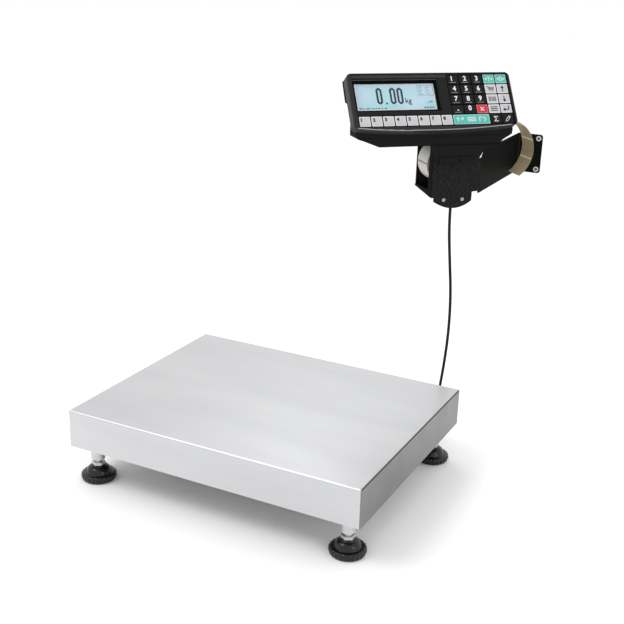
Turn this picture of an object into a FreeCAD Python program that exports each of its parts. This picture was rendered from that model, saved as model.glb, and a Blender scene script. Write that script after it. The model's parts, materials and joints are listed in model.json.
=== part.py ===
import FreeCAD, Part
import math
import os
import re

import Sketcher

# Label printing scale: a low stainless weighing platform on four screw feet, and a
# label printing terminal on a bent sheet bracket that is screwed to the wall behind
# it. One signal lead joins the two.
#
# Frame: origin at the centre of the weighing face, +Z up, +X along the platform's
# long side, +Y towards the wall. Millimetres.

Vector = FreeCAD.Vector
Rotation = FreeCAD.Rotation
Placement = FreeCAD.Placement

doc = FreeCAD.newDocument("label_printing_scale")

# ----------------------------------------------------------------------------------
# Driving dimensions. One row of the sheet each: alias, value.
# ----------------------------------------------------------------------------------

DIMENSIONS = {
    # Weighing platform
    "platter_length": 510, "platter_width": 400, "skirt_height": 62,
    "platter_sheet": 1.5, "platter_corner": 3, "floor_drop": 125,
    "buffer_height": 3.3, "buffer_diameter": 26, "buffer_top": -1.7,
    "tube_wall": 2, "tube_depth": 20,
    "arm_spread": 205, "arm_length": 340, "arm_width": 30, "spine_width": 60,
    "rail_length": 362, "rail_width": 25, "rail_top": -46, "cross_spread": 60,
    "foot_inset": 31, "bushing_diameter": 22, "bushing_lift": 36,
    "stud_diameter": 12, "stud_reach": 65, "pad_diameter": 57, "pad_height": 25,
    "pad_neck": 22, "nut_width": 19, "nut_height": 6, "running_gap": 0.08,
    "cell_length": 130, "cell_width": 30, "cell_height": 30, "cell_top": -28,
    "cell_bolt_x": 50, "cell_bolt_y": 8, "bolt_diameter": 6,
    "cell_eye": 16, "plate_thickness": 5, "spacer_height": 3,
    # Place of the terminal: the middle of its first number key's column, at the
    # height of the lowest row of keys, on the keypad's face
    "terminal_x": 205.5, "terminal_y": 238, "terminal_z": 445.6,
    "terminal_turn": 45, "panel_lean": 33.4,
    # Panel: distances along the panel (u), up the panel (v) and out of it (n)
    "bezel_left": -182, "bezel_right": 102, "bezel_top": 82, "bezel_bottom": -11,
    "bezel_sag": 6.5, "bezel_back": -14, "bezel_front": 3, "bezel_corner": 8,
    "bezel_edge": 2.6, "recess_left": -175, "recess_right": 98, "recess_top": 80,
    "recess_bottom": -10.5, "film_thickness": 1.2, "panel_floor": 4.8,
    "glass_left": -169, "glass_right": -32.5, "glass_low": 21.5, "glass_high": 67,
    "glass_frame": 5.4, "window_thickness": 1.5, "module_depth": 6,
    "key_pitch": 21.5, "row_pitch": 17.6, "key_gap": 2, "key_depth": 5.6,
    "function_left": -172.6, "function_pitch": 20.05, "function_height": 18.4,
    "wide_left": -12.2, "key_round": 0.8, "key_field_margin": 0.4,
    # Rear housing and printer apron
    "case_wall": 2.5, "case_left": -176, "case_right": 99, "case_floor": -42.5,
    "case_back": 93, "case_top": 58.5, "case_taper": 27, "case_corner": 12,
    "ear_reach": 6, "case_ear_low": 23, "case_ear_high": 56,
    "apron_front": 7.5, "apron_back": 13.6, "scoop_back": 84,
    # Wall bracket, bent from one sheet
    "sheet": 2, "plate_front": 14, "plate_left": -35, "fold_u": 51, "bend": 4,
    "wall_y": 500, "flange_length": 44, "flange_corner": 5, "bracket_top": -55, "bracket_low": -125,
    "ear_left": -28, "ear_right": 38.5, "ear_side": -137, "ear_bottom": -149,
    "ear_screw_u": 3.7, "ear_screw_span": 33.5, "ear_screw_z": -134,
    "wall_hole_diameter": 5.5, "wall_hole_edge": 7, "wall_hole_span": 56,
    "washer_diameter": 9.2, "washer_thickness": 1.5,
    # Label roll and its box
    "roll_u": -2.5, "roll_z": -78, "roll_radius": 34, "core_radius": 19,
    "core_wall": 2.5, "label_front": 34.5, "label_width": 40, "hub_gap": 0.08,
    "box_back": 84, "box_rise": 8, "box_low": -131,
    "window_front": 30, "window_back": 79, "window_low": -120,
    # Printer mechanism and label strip
    "strip_thickness": 0.4, "platen_u": 86, "platen_z": -17.5, "platen_radius": 8,
    "platen_gap": 0.35, "curl_u": 106.5, "curl_radius": 52, "curl_end": -56,
    "mech_front": 28, "mech_back": 83, "mech_plate": 2, "head_u": 52, "head_z": 9,
    "head_pin": 2,
    # Signal lead
    "lead_diameter": 5, "gland_u": 9, "gland_b": 30, "gland_face": -151.5,
    "base_gland_x": 150, "base_gland_z": -86, "base_gland_face": 200,
}

sheet = doc.addObject("Spreadsheet::Sheet", "Sizes")
for row, (alias, value) in enumerate(DIMENSIONS.items(), 1):
    sheet.set(f"A{row}", alias)
    sheet.set(f"B{row}", str(value))
    sheet.setAlias(f"B{row}", alias)
doc.recompute()


class Millimetres:
    """The sheet's values as plain numbers, for outlines."""

    def __getattr__(self, alias):
        return float(sheet.get(alias))


mm = Millimetres()

# ----------------------------------------------------------------------------------
# Helpers
# ----------------------------------------------------------------------------------

nodes = []


def formula(text):
    """Put the sheet's name before each alias of a size formula."""
    return re.sub(r"[a-z][a-z_]*",
                  lambda word: "Sizes." + word[0] if word[0] in DIMENSIONS else word[0],
                  str(text))


def bind(item, **properties):
    for name, text in properties.items():
        item.setExpression(name, formula(text))


def set_place(item, at):
    for axis, text in zip("xyz", at):
        item.setExpression(f"Placement.Base.{axis}", formula(text))


def box(name, length, width, height, at):
    solid = doc.addObject("Part::Box", name)
    bind(solid, Length=length, Width=width, Height=height)
    set_place(solid, at)
    return solid


TURNS = {"z": Rotation(), "y": Rotation(Vector(1, 0, 0), -90), "x": Rotation(Vector(0, 1, 0), 90)}


def cylinder(name, radius, height, at, axis="z"):
    solid = doc.addObject("Part::Cylinder", name)
    bind(solid, Radius=radius, Height=height)
    solid.Placement = Placement(Vector(), TURNS[axis])
    set_place(solid, at)
    return solid


def cone(name, radius_a, radius_b, height, at, axis="z"):
    solid = doc.addObject("Part::Cone", name)
    bind(solid, Radius1=radius_a, Radius2=radius_b, Height=height)
    solid.Placement = Placement(Vector(), TURNS[axis])
    set_place(solid, at)
    return solid


def cut(name, base, *tools):
    result = doc.addObject("Part::Cut", name)
    result.Base = base
    result.Tool = tools[0] if len(tools) == 1 else fuse(name + "_tools", *tools)
    return result


def fuse(name, *solids):
    result = doc.addObject("Part::MultiFuse", name)
    result.Shapes = list(solids)
    return result


def common(name, first, second):
    result = doc.addObject("Part::Common", name)
    result.Base = first
    result.Tool = second
    return result


def group(name, *solids):
    """Separate solids that share one node."""
    result = doc.addObject("Part::Compound", name)
    result.Links = list(solids)
    return result


def rounded(name, base, radius, wanted):
    """Fillet of the base's edges whose middle and direction the test accepts."""
    doc.recompute()
    result = doc.addObject("Part::Fillet", name)
    result.Base = base
    result.Edges = [
        (number, radius, radius)
        for number, edge in enumerate(base.Shape.Edges, 1)
        if wanted(edge.CenterOfMass, edge.tangentAt(edge.FirstParameter))
    ]
    return result


def node(item, label, frame=None):
    """Name a finished sub-part and put it in its frame."""
    item.Label = label
    if frame:
        item.Placement = frame
    nodes.append(item)
    return item


def make_body(name):
    return doc.addObject("PartDesign::Body", name)


def sketch_on(body, name, role, offset=0.0):
    """A sketch on one of the body's own origin planes, moved along its normal."""
    sketch = body.newObject("Sketcher::SketchObject", name)
    plane = next(item for item in body.Origin.OriginFeatures if item.Role == role)
    sketch.AttachmentSupport = [(plane, "")]
    sketch.MapMode = "FlatFace"
    sketch.AttachmentOffset = Placement(Vector(0, 0, offset), Rotation())
    return sketch


def draw_polygon(sketch, points):
    corners = [Vector(x, y, 0) for x, y in points]
    for start, end in zip(corners, corners[1:] + corners[:1]):
        sketch.addGeometry(Part.LineSegment(start, end), False)


def draw_rectangle(sketch, low_x, low_y, width, height):
    """Rectangle whose corner and sides are bound to the sheet."""
    points = [Vector(0, 0, 0), Vector(1, 0, 0), Vector(1, 1, 0), Vector(0, 1, 0)]
    lines = [sketch.addGeometry(Part.LineSegment(points[i], points[(i + 1) % 4]), False)
             for i in range(4)]
    for i in range(4):
        sketch.addConstraint(Sketcher.Constraint("Coincident", lines[i], 2, lines[(i + 1) % 4], 1))
        kind = "Vertical" if i % 2 else "Horizontal"
        sketch.addConstraint(Sketcher.Constraint(kind, lines[i]))
    first = lines[0]
    for kind, start, end, text in (
            ("DistanceX", (first, 1), (first, 2), width),
            ("DistanceY", (lines[1], 1), (lines[1], 2), height),
            ("DistanceX", (-1, 1), (first, 1), low_x),
            ("DistanceY", (-1, 1), (first, 1), low_y)):
        index = sketch.addConstraint(Sketcher.Constraint(kind, *start, *end, 1.0))
        sketch.setExpression(f"Constraints[{index}]", formula(text))


def draw_circle(sketch, x, y, radius):
    """Circle whose centre and radius are bound to the sheet."""
    circle = sketch.addGeometry(Part.Circle(Vector(1, 1, 0), Vector(0, 0, 1), 1), False)
    for constraint, text in (
            (Sketcher.Constraint("Radius", circle, 1.0), radius),
            (Sketcher.Constraint("DistanceX", -1, 1, circle, 3, 1.0), x),
            (Sketcher.Constraint("DistanceY", -1, 1, circle, 3, 1.0), y)):
        index = sketch.addConstraint(constraint)
        sketch.setExpression(f"Constraints[{index}]", formula(text))


def pad(body, sketch, name, length, midplane=False, reverse=False):
    feature = body.newObject("PartDesign::Pad", name)
    feature.Profile = sketch
    bind(feature, Length=length)
    if midplane:
        feature.SideType = "Symmetric"
    feature.Reversed = reverse
    return feature


def pocket(body, sketch, name, length=None, reverse=False):
    """Cut along the sketch's normal side that holds the material; None cuts through."""
    doc.recompute()
    before = body.Shape.Volume
    feature = body.newObject("PartDesign::Pocket", name)
    feature.Profile = sketch
    if length is None:
        feature.Type = "ThroughAll"
        feature.SideType = "Symmetric"
    else:
        bind(feature, Length=length)
        feature.Reversed = reverse
    doc.recompute()
    if body.Shape.Volume > before - 0.5:
        raise RuntimeError(f"{name} cuts nothing")
    return feature


def unit(vector):
    return vector * (1.0 / vector.Length)


def rounded_path(points, radius, offset=0.0):
    """Lines and arcs along flat points, shifted sideways to the left by offset."""
    points = [Vector(x, y, 0) for x, y in points]
    up = Vector(0, 0, 1)
    edges = []
    heading = unit(points[1] - points[0])
    start = points[0] + up.cross(heading) * offset
    for before, corner, after in zip(points, points[1:], points[2:]):
        heading = unit(corner - before)
        leaving = unit(after - corner)
        side = 1.0 if heading.cross(leaving).z > 0 else -1.0
        turn = heading.getAngle(leaving)
        reach = radius * math.tan(turn / 2)
        left_in, left_out = up.cross(heading), up.cross(leaving)
        centre = corner - heading * reach + left_in * (side * radius)
        bend = radius - side * offset
        enter = corner - heading * reach + left_in * offset
        leave = corner + leaving * reach + left_out * offset
        middle = centre - unit(left_in + left_out) * (side * bend)
        edges.append(Part.LineSegment(start, enter))
        edges.append(Part.Arc(enter, middle, leave))
        start, heading = leave, leaving
    edges.append(Part.LineSegment(start, points[-1] + up.cross(heading) * offset))
    return edges


def draw_strip(sketch, points, radius, thickness):
    """Closed outline of a bent sheet seen on edge, along its middle line."""
    left = rounded_path(points, radius, thickness / 2)
    right = rounded_path(points, radius, -thickness / 2)
    for side in (left, right):
        sketch.addGeometry(side, False)
    sketch.addGeometry(Part.LineSegment(left[0].StartPoint, right[0].StartPoint), False)
    sketch.addGeometry(Part.LineSegment(left[-1].EndPoint, right[-1].EndPoint), False)


def inset(points, wall):
    """The same outline moved inwards by the wall; points run anticlockwise."""
    lines = []
    for (ax, ay), (bx, by) in zip(points, points[1:] + points[:1]):
        length = math.hypot(bx - ax, by - ay)
        nx, ny = -(by - ay) / length, (bx - ax) / length
        lines.append((nx, ny, nx * ax + ny * ay + wall))
    moved = []
    for (a1, b1, c1), (a2, b2, c2) in zip(lines[-1:] + lines[:-1], lines):
        det = a1 * b2 - a2 * b1
        moved.append(((c1 * b2 - c2 * b1) / det, (a1 * c2 - a2 * c1) / det))
    return moved


def prism(name, role, points, low, high):
    """Outline padded between two distances along its plane's outward axis."""
    body = make_body(name)
    axis_sign = -1.0 if role == "XZ_Plane" else 1.0
    sketch = sketch_on(body, name + "_outline", role, axis_sign * low)
    draw_polygon(sketch, points)
    feature = body.newObject("PartDesign::Pad", name + "_pad")
    feature.Profile = sketch
    feature.Length = high - low
    feature.Reversed = role == "XZ_Plane"
    return body


# Frames of the terminal: u runs to its right, b to its back and z up; the panel's
# frame has v up the leaning panel and n out of it.
PLACE = Vector(mm.terminal_x, mm.terminal_y, mm.terminal_z)
TURN = Rotation(Vector(0, 0, 1), mm.terminal_turn)
TERMINAL = Placement(PLACE, TURN)
PANEL = Placement(PLACE, TURN.multiply(Rotation(Vector(1, 0, 0), 90 - mm.panel_lean)))
LEAN_SIN = math.sin(math.radians(mm.panel_lean))
LEAN_COS = math.cos(math.radians(mm.panel_lean))


def panel_to_side(v, n):
    """A point of the panel's frame as (b, z) of the terminal's side view."""
    return (v * LEAN_SIN - n * LEAN_COS, v * LEAN_COS + n * LEAN_SIN)


def behind_panel(z, n):
    """How far back the panel's plane n lies at height z of the terminal."""
    return panel_to_side((z - n * LEAN_SIN) / LEAN_COS, n)[0]


# ----------------------------------------------------------------------------------
# Weighing platform
# ----------------------------------------------------------------------------------

FOOT_PLACES = {
    "foot_front_left": (-1, -1), "foot_front_right": (1, -1),
    "foot_back_left": (-1, 1), "foot_back_right": (1, 1),
}
FOOT_X = "(platter_length / 2 - foot_inset)"
FOOT_Y = "(platter_width / 2 - foot_inset)"
BASE_BACK = "(rail_length / 2)"


def platter_cover():
    """Stainless pan: a flat face with a folded skirt all round."""
    outer = box("pan_outer", "platter_length", "platter_width", "skirt_height",
                ("-platter_length / 2", "-platter_width / 2", "-skirt_height"))
    inner = box("pan_inner", "platter_length - 2 * platter_sheet",
                "platter_width - 2 * platter_sheet", "skirt_height",
                ("-platter_length / 2 + platter_sheet", "-platter_width / 2 + platter_sheet",
                 "-skirt_height - platter_sheet"))

    def upright_or_top(middle, direction, height):
        return abs(direction.z) > 0.9 or middle.z > height - 0.01

    outer_round = rounded("pan_outer_round", outer, mm.platter_corner,
                          lambda middle, way: upright_or_top(middle, way, 0))
    inner_round = rounded("pan_inner_round", inner, mm.platter_corner - mm.platter_sheet,
                          lambda middle, way: upright_or_top(middle, way, -mm.platter_sheet))
    node(cut("platter_cover", outer_round, inner_round), "platter_cover")


def square_tube(name, along, length, width, low):
    """Rectangular steel tube with open ends, along x or y from a low corner."""
    x, y, z = low
    spans = (length, width) if along == "x" else (width, length)
    outer = box(name + "_outer", *spans, "tube_depth", low)
    bore_height = "tube_depth - 2 * tube_wall"
    if along == "x":
        bore = box(name + "_bore", length, f"{width} - 2 * tube_wall", bore_height,
                   (x, f"{y} + tube_wall", f"{z} + tube_wall"))
    else:
        bore = box(name + "_bore", f"{width} - 2 * tube_wall", length, bore_height,
                   (f"{x} + tube_wall", y, f"{z} + tube_wall"))
    return cut(name, outer, bore)


def top_frame():
    """Welded tube frame under the pan, with two studs for the load cell's free end."""
    low = "buffer_top - buffer_height - tube_depth"
    arms = [square_tube(f"top_arm_{side}", "y", "arm_length", "arm_width",
                        (f"{sign} * arm_spread - arm_width / 2", "-arm_length / 2", low))
            for side, sign in (("left", -1), ("right", 1))]
    spine = square_tube("top_spine", "x", "2 * arm_spread - arm_width", "spine_width",
                        ("-arm_spread + arm_width / 2", "-spine_width / 2", low))
    spacer = box("top_spacer", "cell_width", "cell_width - 2", f"{low} - cell_top",
                 ("cell_bolt_x - cell_width / 2", "-cell_width / 2 + 1", "cell_top"))
    studs = [cylinder(f"top_stud_{i}", "bolt_diameter / 2", "12 + spacer_height",
                      ("cell_bolt_x", f"{sign} * cell_bolt_y", "cell_top - 12"))
             for i, sign in enumerate((-1, 1))]
    node(fuse("top_frame", *arms, spine, spacer, *studs), "top_frame")


def corner_buffers():
    """Four rubber buffers between the frame's arms and the pan."""
    discs = [cylinder(f"buffer_{i}", "buffer_diameter / 2", "buffer_height",
                      (f"{sx} * arm_spread", f"{sy} * (arm_length / 2 - arm_width / 2)",
                       "buffer_top - buffer_height"))
             for i, (sx, sy) in enumerate(FOOT_PLACES.values())]
    node(group("corner_buffers", *discs), "corner_buffers")


def gusset(name, sx, sy):
    """Triangular web between a foot bushing and the rail above it."""
    web = prism(name, "YZ_Plane", [(0, 0), (0, -18), (-3, -18), (-28, 0)], -1.5, 1.5)
    web.Placement = Placement(Vector(), Rotation(Vector(0, 0, 1), 0 if sy > 0 else 180))
    set_place(web, (f"{sx} * {FOOT_X}", f"{sy} * ({FOOT_Y} - bushing_diameter / 2 + 1)",
                    "rail_top - tube_depth"))
    return web


def base_frame():
    """Welded base: two side rails, two cross tubes, the cell's plate and the foot bushings."""
    low = "rail_top - tube_depth"
    rails = [square_tube(f"base_rail_{side}", "y", "rail_length", "rail_width",
                         (f"{sign} * {FOOT_X} - rail_width / 2", "-rail_length / 2", low))
             for side, sign in (("left", -1), ("right", 1))]
    crosses = [square_tube(f"base_cross_{side}", "x", f"2 * {FOOT_X} - rail_width", "rail_width",
                           (f"-{FOOT_X} + rail_width / 2",
                            f"{sign} * cross_spread - rail_width / 2", low))
               for side, sign in (("front", -1), ("back", 1))]
    plate = box("cell_plate", "70", "2 * cross_spread - rail_width", "plate_thickness",
                ("-cell_bolt_x - 35", "-cross_spread + rail_width / 2", low))
    spacer = box("cell_spacer", "cell_width", "cell_width - 2",
                 f"cell_top - cell_height - ({low}) - plate_thickness",
                 ("-cell_bolt_x - cell_width / 2", "-cell_width / 2 + 1",
                  f"{low} + plate_thickness"))
    bushings, bores, webs = [], [], []
    for label, (sx, sy) in FOOT_PLACES.items():
        at = (f"{sx} * {FOOT_X}", f"{sy} * {FOOT_Y}", "-floor_drop + bushing_lift")
        rise = "floor_drop - bushing_lift + rail_top"
        bushings.append(cylinder(label + "_bushing", "bushing_diameter / 2", rise, at))
        bores.append(cylinder(label + "_bore", "stud_diameter / 2 + running_gap",
                              rise + " + 10", (at[0], at[1], at[2] + " - 5")))
        webs.append(gusset(label + "_web", sx, sy))
    # The gland's plate is L-shaped and reaches over from the right rail
    tab = fuse("gland_tab",
               box("gland_tab_drop", "30", "3", "34 + tube_depth",
                   ("base_gland_x - 15", f"{BASE_BACK} - 3", f"{low} - 34")),
               box("gland_tab_reach", f"{FOOT_X} - rail_width / 2 - base_gland_x + 16", "3",
                   "tube_depth", ("base_gland_x - 15", f"{BASE_BACK} - 3", low)))
    tab_hole = cylinder("gland_tab_hole", "6.1", "20",
                        ("base_gland_x", f"{FOOT_Y}", "base_gland_z"), "y")
    holes = [cylinder(f"cell_hole_{i}", "bolt_diameter / 2 + running_gap", "20",
                      ("-cell_bolt_x", f"{sign} * cell_bolt_y", f"{low} - 5"))
             for i, sign in enumerate((-1, 1))]
    body = fuse("base_welded", *rails, *crosses, plate, spacer, *bushings, *webs, tab)
    node(cut("base_frame", body, *bores, *holes, tab_hole), "base_frame")


def load_cell():
    """Aluminium single-point load cell with its double-eye flexure."""
    body = make_body("cell_body")
    sketch = sketch_on(body, "cell_side", "XZ_Plane")
    draw_rectangle(sketch, "-cell_length / 2", "cell_top - cell_height", "cell_length",
                   "cell_height")
    pad(body, sketch, "cell_block", "cell_width", midplane=True)
    eyes = sketch_on(body, "cell_eyes", "XZ_Plane")
    middle = "cell_top - cell_height / 2"
    draw_circle(eyes, "-cell_eye * 0.75", middle, "cell_eye / 2")
    draw_circle(eyes, "cell_eye * 0.75", middle, "cell_eye / 2")
    pocket(body, eyes, "cell_flexure")
    slot = sketch_on(body, "cell_slot", "XZ_Plane")
    draw_rectangle(slot, "-cell_eye / 2", middle + " - 2", "cell_eye", "4")
    pocket(body, slot, "cell_slot_cut")
    holes = [cylinder(f"cell_thread_{i}{j}", "bolt_diameter / 2 + running_gap / 2", "16",
                      (f"{sx} * cell_bolt_x", f"{sy} * cell_bolt_y", base))
             for i, (sx, base) in enumerate(((-1, "cell_top - cell_height"),
                                             (1, "cell_top - 16")))
             for j, sy in enumerate((-1, 1))]
    node(cut("load_cell", body, *holes), "load_cell")


def hexagon(width):
    radius = width / math.sqrt(3)
    return [(radius * math.cos(math.radians(60 * i)), radius * math.sin(math.radians(60 * i)))
            for i in range(6)]


def load_cell_bolts():
    """Two hexagon bolts that hold the cell's fixed end on the base plate."""
    bolts = []
    for i, sign in enumerate((-1, 1)):
        head = prism(f"bolt_head_{i}", "XY_Plane", hexagon(10), 0, 4)
        shank = cylinder(f"bolt_shank_{i}", "bolt_diameter / 2", "22", ("0", "0", "4"))
        bolt = fuse(f"bolt_{i}", head, shank)
        bolt.Placement = Placement(
            Vector(-mm.cell_bolt_x, sign * mm.cell_bolt_y, mm.rail_top - mm.tube_depth - 4),
            Rotation())
        bolts.append(bolt)
    node(group("load_cell_bolts", *bolts), "load_cell_bolts")


def foot(label, sx, sy):
    """Screw foot: domed plastic pad, hexagon collar and stud, turned to set the level."""
    body = make_body(label + "_pad")
    profile = sketch_on(body, label + "_profile", "XZ_Plane")
    edge, neck, tall = mm.pad_diameter / 2, mm.pad_neck / 2, mm.pad_height
    rim_low, rim_high = 3.0, 12.0
    lines = [(0, 0), (edge - 3, 0), (edge, rim_low), (edge, rim_high)]
    for start, end in zip(lines, lines[1:]):
        profile.addGeometry(Part.LineSegment(Vector(*start, 0), Vector(*end, 0)), False)
    profile.addGeometry(Part.Arc(Vector(edge, rim_high, 0),
                                 Vector((edge + neck) / 2 + 1.5, (rim_high + tall) / 2 + 3, 0),
                                 Vector(neck, tall, 0)), False)
    close = [(neck, tall), (0, tall), (0, 0)]
    for start, end in zip(close, close[1:]):
        profile.addGeometry(Part.LineSegment(Vector(*start, 0), Vector(*end, 0)), False)
    turned = body.newObject("PartDesign::Revolution", label + "_turned")
    turned.Profile = profile
    turned.ReferenceAxis = (profile, ["V_Axis"])
    turned.Angle = 360
    collar = prism(label + "_collar", "XY_Plane", hexagon(mm.nut_width), mm.pad_height,
                   mm.pad_height + mm.nut_height)
    stud = cylinder(label + "_stud", "stud_diameter / 2", "stud_reach - pad_height",
                    ("0", "0", "pad_height"))
    whole = fuse(label, body, collar, stud)
    node(whole, label)
    set_place(whole, (f"{sx} * {FOOT_X}", f"{sy} * {FOOT_Y}", "-floor_drop"))


# ----------------------------------------------------------------------------------
# Terminal: front
# ----------------------------------------------------------------------------------

KEY_RIGHT = "(4.5 * key_pitch)"


def key_field_points():
    """L-shaped field that the keys fill: the bottom row and the block on the right."""
    margin = mm.key_field_margin
    left = mm.function_left - margin
    inner = -mm.key_pitch / 2 - margin
    right = 4.5 * mm.key_pitch + margin
    low = -mm.function_height / 2 - margin + 0.5
    step = mm.function_height / 2 + margin + 0.5
    high = 4.5 * mm.row_pitch + margin
    return [(left, low), (right, low), (right, high), (inner, high), (inner, step), (left, step)]


def front_bezel():
    """Plastic front frame with a raised, rounded rim and a bowed lower edge."""
    body = make_body("bezel_body")
    outline = sketch_on(body, "bezel_outline", "XY_Plane", mm.bezel_back)
    low_left = Vector(mm.bezel_left, mm.bezel_bottom, 0)
    low_right = Vector(mm.bezel_right, mm.bezel_bottom + 1, 0)
    top_right = Vector(mm.bezel_right, mm.bezel_top, 0)
    top_left = Vector(mm.bezel_left, mm.bezel_top, 0)
    sag = Vector((mm.bezel_left + mm.bezel_right) / 2, mm.bezel_bottom - mm.bezel_sag, 0)
    outline.addGeometry([Part.Arc(low_left, sag, low_right),
                         Part.LineSegment(low_right, top_right),
                         Part.LineSegment(top_right, top_left),
                         Part.LineSegment(top_left, low_left)], False)
    block = pad(body, outline, "bezel_block", "bezel_front - bezel_back")
    doc.recompute()
    corners = body.newObject("PartDesign::Fillet", "bezel_corners")
    corners.Base = (block, [f"Edge{i}" for i, edge in enumerate(block.Shape.Edges, 1)
                            if abs(edge.tangentAt(edge.FirstParameter).z) > 0.9])
    bind(corners, Radius="bezel_corner")
    doc.recompute()
    rim = body.newObject("PartDesign::Fillet", "bezel_rim")
    rim.Base = (corners, [f"Edge{i}" for i, edge in enumerate(corners.Shape.Edges, 1)
                          if edge.BoundBox.ZMin > mm.bezel_front - 0.01])
    bind(rim, Radius="bezel_edge")
    recess = box("panel_recess", "recess_right - recess_left", "recess_top - recess_bottom",
                 "20", ("recess_left", "recess_bottom", "-film_thickness"))
    floor_low = -mm.film_thickness - mm.panel_floor
    hollow = box("bezel_hollow", "bezel_right - 4 - case_left - case_wall",
                 "recess_top - recess_bottom - 2", "20",
                 ("case_left + case_wall", "recess_bottom + 1", f"{floor_low} - 20"))
    field = prism("bezel_field", "XY_Plane", key_field_points(), floor_low - 5, 5)
    funnel = doc.addObject("Part::Wedge", "display_funnel")
    funnel.Xmin, funnel.Xmax = mm.glass_left, mm.glass_right
    funnel.Zmin, funnel.Zmax = -mm.glass_high, -mm.glass_low
    funnel.X2min, funnel.X2max = mm.glass_left - mm.glass_frame, mm.glass_right + mm.glass_frame
    funnel.Z2min, funnel.Z2max = -mm.glass_high - mm.glass_frame, -mm.glass_low + mm.glass_frame
    funnel.Ymin, funnel.Ymax = floor_low - 0.1, 0.2
    funnel.Placement = Placement(Vector(), Rotation(Vector(1, 0, 0), 90))
    node(cut("front_bezel", body, recess, hollow, field, funnel), "front_bezel", PANEL)


def keypad_overlay():
    """Printed film that surrounds the keys and the display."""
    film = box("film_sheet", "recess_right - recess_left - 0.4",
               "recess_top - recess_bottom - 0.4", "film_thickness - 0.05",
               ("recess_left + 0.2", "recess_bottom + 0.2", "-film_thickness"))
    field = prism("film_field", "XY_Plane", key_field_points(), -5, 5)
    opening = box("film_display", "glass_right - glass_left + 2 * glass_frame",
                  "glass_high - glass_low + 2 * glass_frame", "10",
                  ("glass_left - glass_frame", "glass_low - glass_frame", "-5"))
    node(cut("keypad_overlay", film, field, opening), "keypad_overlay", PANEL)


def display_pieces():
    """Clear window behind the funnel, and the display module behind the window."""
    face = "-film_thickness - panel_floor"
    window = box("window_plate", "glass_right - glass_left + 4", "glass_high - glass_low + 4",
                 "window_thickness", ("glass_left - 2", "glass_low - 2",
                                      f"{face} - window_thickness"))
    node(group("display_window", window), "display_window", PANEL)
    module = box("module_block", "glass_right - glass_left + 8",
                 "glass_high - glass_low + 12", "module_depth",
                 ("glass_left - 4", "glass_low - 6",
                  f"{face} - window_thickness - module_depth - 0.2"))
    node(group("display_module", module), "display_module", PANEL)


def main_board():
    """Switch board behind the keys, processor board behind it, and the power jack."""
    face = "-film_thickness - panel_floor - 0.4"
    switches = fuse("switch_board",
                    box("switch_right", "5 * key_pitch", "4.8 * row_pitch", "1.6",
                        ("-key_pitch / 2 + 1", "-6", f"{face} - 1.6")),
                    box("switch_bottom", "165", "20", "1.6",
                        ("function_left", "-8", f"{face} - 1.6")))
    processor = box("processor_board", "180", "56", "1.6",
                    ("-150", "8", "-20"))
    header = box("board_header", "30", "6", "10.6", ("-6", "12", "-18.6"))
    jack_b, jack_z = mm.case_back - 16, -25
    jack = cylinder("power_jack", "5", "16.4", ("0", "0", "0"), "y")
    jack_bore = cylinder("power_jack_bore", "1.6", "12", ("0", "6", "0"), "y")
    socket = cut("power_socket", jack, jack_bore)
    socket.Placement = Placement(Vector(-120, jack_b, jack_z), Rotation())
    in_case = group("case_board_pieces", socket)
    in_case.Placement = TERMINAL
    on_panel = group("panel_board_pieces", fuse("board_stack", processor, header), switches)
    on_panel.Placement = PANEL
    node(group("main_board", on_panel, in_case), "main_board")


def key(label, left, low, width, height):
    """One flush key: sides bound to the pitch, edges eased."""
    block = box(label + "_block", f"{width} - key_gap", f"{height} - key_gap", "key_depth",
                (f"{left} + key_gap / 2", f"{low} + key_gap / 2", "-key_depth"))
    eased = rounded(label, block, mm.key_round,
                    lambda middle, way: abs(way.z) > 0.9)
    node(eased, label, PANEL)


NUMBER_KEYS = (
    ("key_1", 0, 4), ("key_2", 1, 4), ("key_3", 2, 4),
    ("key_4", 0, 3), ("key_5", 1, 3), ("key_6", 2, 3),
    ("key_7", 0, 2), ("key_8", 1, 2), ("key_9", 2, 2),
    ("key_point", 0, 1), ("key_0", 1, 1), ("key_clear", 2, 1),
    ("key_feed", 3, 4), ("key_tare", 4, 4), ("key_cart", 3, 3), ("key_up", 4, 3),
    ("key_code", 3, 2), ("key_down", 4, 2), ("key_lookup", 3, 1), ("key_enter", 4, 1),
)


def keys():
    """Eight function keys, one wide key, two black keys and the block of twenty."""
    low = "-function_height / 2 + 0.5"
    for i in range(8):
        key(f"key_f{i + 1}", f"function_left + {i} * function_pitch", low,
            "function_pitch", "function_height")
    key("key_menu", "wide_left", low, "2.5 * key_pitch - wide_left", "function_height")
    for label, column in (("key_sum", 3), ("key_edit", 4)):
        key(label, f"{column - 0.5} * key_pitch", low, "key_pitch", "function_height")
    first_row = "(function_height / 2 + 0.5)"
    for label, column, row in NUMBER_KEYS:
        bottom = f"{row - 0.5} * row_pitch"
        height = "row_pitch"
        if row == 1:
            bottom = first_row
            height = f"(1.5 * row_pitch - {first_row})"
        key(label, f"{column - 0.5} * key_pitch", bottom, "key_pitch", height)


# ----------------------------------------------------------------------------------
# Terminal: case
# ----------------------------------------------------------------------------------

def case_side_points():
    """Side view (b, z) of the rear housing, from the panel's back plane."""
    low = panel_to_side(mm.bezel_bottom - 1, mm.bezel_back)
    high = (behind_panel(mm.case_top, mm.bezel_back), mm.case_top)
    return [low, (9.5, mm.case_floor), (mm.case_back - 6, mm.case_floor),
            (mm.case_back, mm.case_floor + 6), (mm.case_back, mm.case_top - 12),
            (mm.case_back - 8, mm.case_top), high]


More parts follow.
